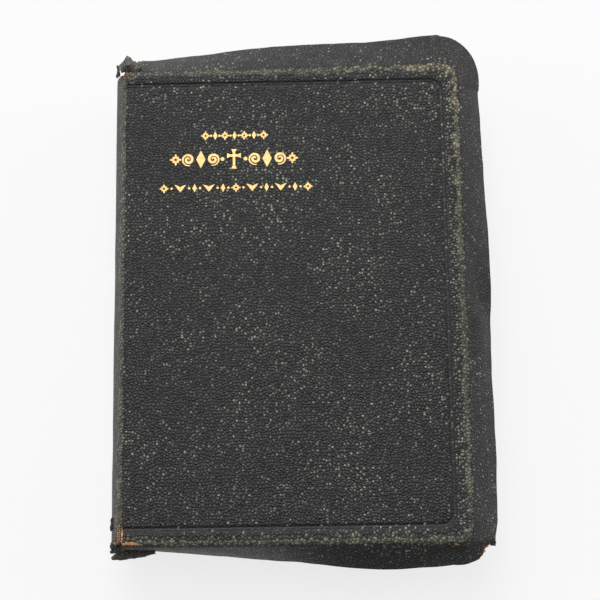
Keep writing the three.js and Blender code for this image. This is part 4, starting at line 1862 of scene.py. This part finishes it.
class Bible:
    """The whole book, built from its assemblies in order."""

    def __init__(self) -> None:
        """Reads the layout and prepares the finishes."""
        self.layout = Layout.from_frame()
        self.arc = SpineArc.from_frame(self.layout)
        self.leather = LEATHER.material()
        self.spine_leather = SPINE_LEATHER.material()
        self.scrap_leathers = {fray: finish.material() for fray, finish in SCRAP_LEATHERS.items()}
        self.inner_leather = INNER_LEATHER.material()
        self.back_leather = BACK_LEATHER.material()
        self.gold = GoldFinish().material()
        self.paper = PaperFinish("bible_paper").material()
        self.plate_paper = PaperFinish("plate_paper", sheet=(0.84, 0.79, 0.66), roughness=0.6).material()
        self.edges = PageEdgeFinish().material()
        self.endpaper = EndpaperFinish().material()
        self.cloth = ClothFinish("lining_cloth").material()
        self.thread = ClothFinish("endband_thread", (0.7, 0.62, 0.44), (0.3, 0.03, 0.03), 0.84).material()
        self.board = BoardFinish().material()

    def covers(self) -> None:
        """Builds both covers with their gold and turned-in leather."""
        front = Cover(
            self.layout, Side.FRONT, FRONT_FLAP, self.leather,
            cuts=FRONT_CUTS, bites=FRONT_BITES, swellings=FRONT_SWELLINGS, head_spread=1.1, tail_spread=0.6,
        )
        report(front.build())
        for row in GoldWork(front, self.gold).build():
            report(row)
        report(Cover(self.layout, Side.BACK, BACK_FLAP, self.back_leather).build())
        for side in Side:
            report(TurnIn(self.layout, side, self.inner_leather).build())

    def spine(self) -> None:
        """Builds the spine and the torn leather at its ends and at the corner."""
        for piece in Spine(self.layout, self.arc, self.spine_leather, Tooling().border_rise).build():
            report(piece)
        for scrap in SCRAPS:
            report(scrap.build(self.layout, self.scrap_leathers[scrap.fray]))

    def text_block(self) -> None:
        """Builds the sections of leaves, the single leaf and the endbands."""
        groups = [name for name in TEXT_BODIES for _ in range(SECTIONS_A_GROUP)]
        for n, group in enumerate(groups):
            node = f"signature_{n + 1:02d}"
            bundle = LeafBundle(self.layout, self.arc, node, TEXT_BODIES[group], self.paper, self.edges)
            report(bundle.build())
        plates = {"map_section": "rear_text", "presentation_section": "front_text"}
        for node, body in plates.items():
            bundle = LeafBundle(self.layout, self.arc, node, body, self.plate_paper, self.edges)
            report(replace(bundle, slot="plate_paper", levels=3).build())
        leaf = LeafBundle(self.layout, self.arc, "turning_leaf", "turning_leaf", self.paper, self.edges)
        report(replace(leaf, levels=1, fold=0.0).build())
        for group, body in TEXT_BODIES.items():
            for end in ("headband", "tailband"):
                report(Endband(self.layout, self.arc, f"{group}_{end}", body, self.thread).build())

    def dress_frame(self) -> None:
        """Gives the CAD nodes that stay in view their finishes."""
        insides = {"board": self.board, "pastedown": self.endpaper, "flyleaf": self.endpaper}
        finishes = {f"{side}_{part}": look for part, look in insides.items() for side in ("front", "back")}
        finishes |= {f"{group}_spine_lining": self.cloth for group in TEXT_BODIES}
        for node, finish in finishes.items():
            mesh = frame["nodes"][node].data
            mesh.materials.clear()
            mesh.materials.append(finish)
            LOG.info("dressed %s in %s", node, finish.name)


def report(piece: bpy.types.Object) -> None:
    """Logs a piece and its size."""
    size = piece.dimensions / MM
    LOG.info("%s: %d faces, %.1f x %.1f x %.1f mm", piece.name, len(piece.data.polygons), *size)


def main() -> None:
    """Builds the book, then the studio round it."""
    logging.basicConfig(level=logging.INFO, format="%(name)s: %(message)s")
    book = Bible()
    Studio(book.layout).build()
    book.covers()
    book.spine()
    book.text_block()
    book.dress_frame()


if __name__ == "__main__":
    main()
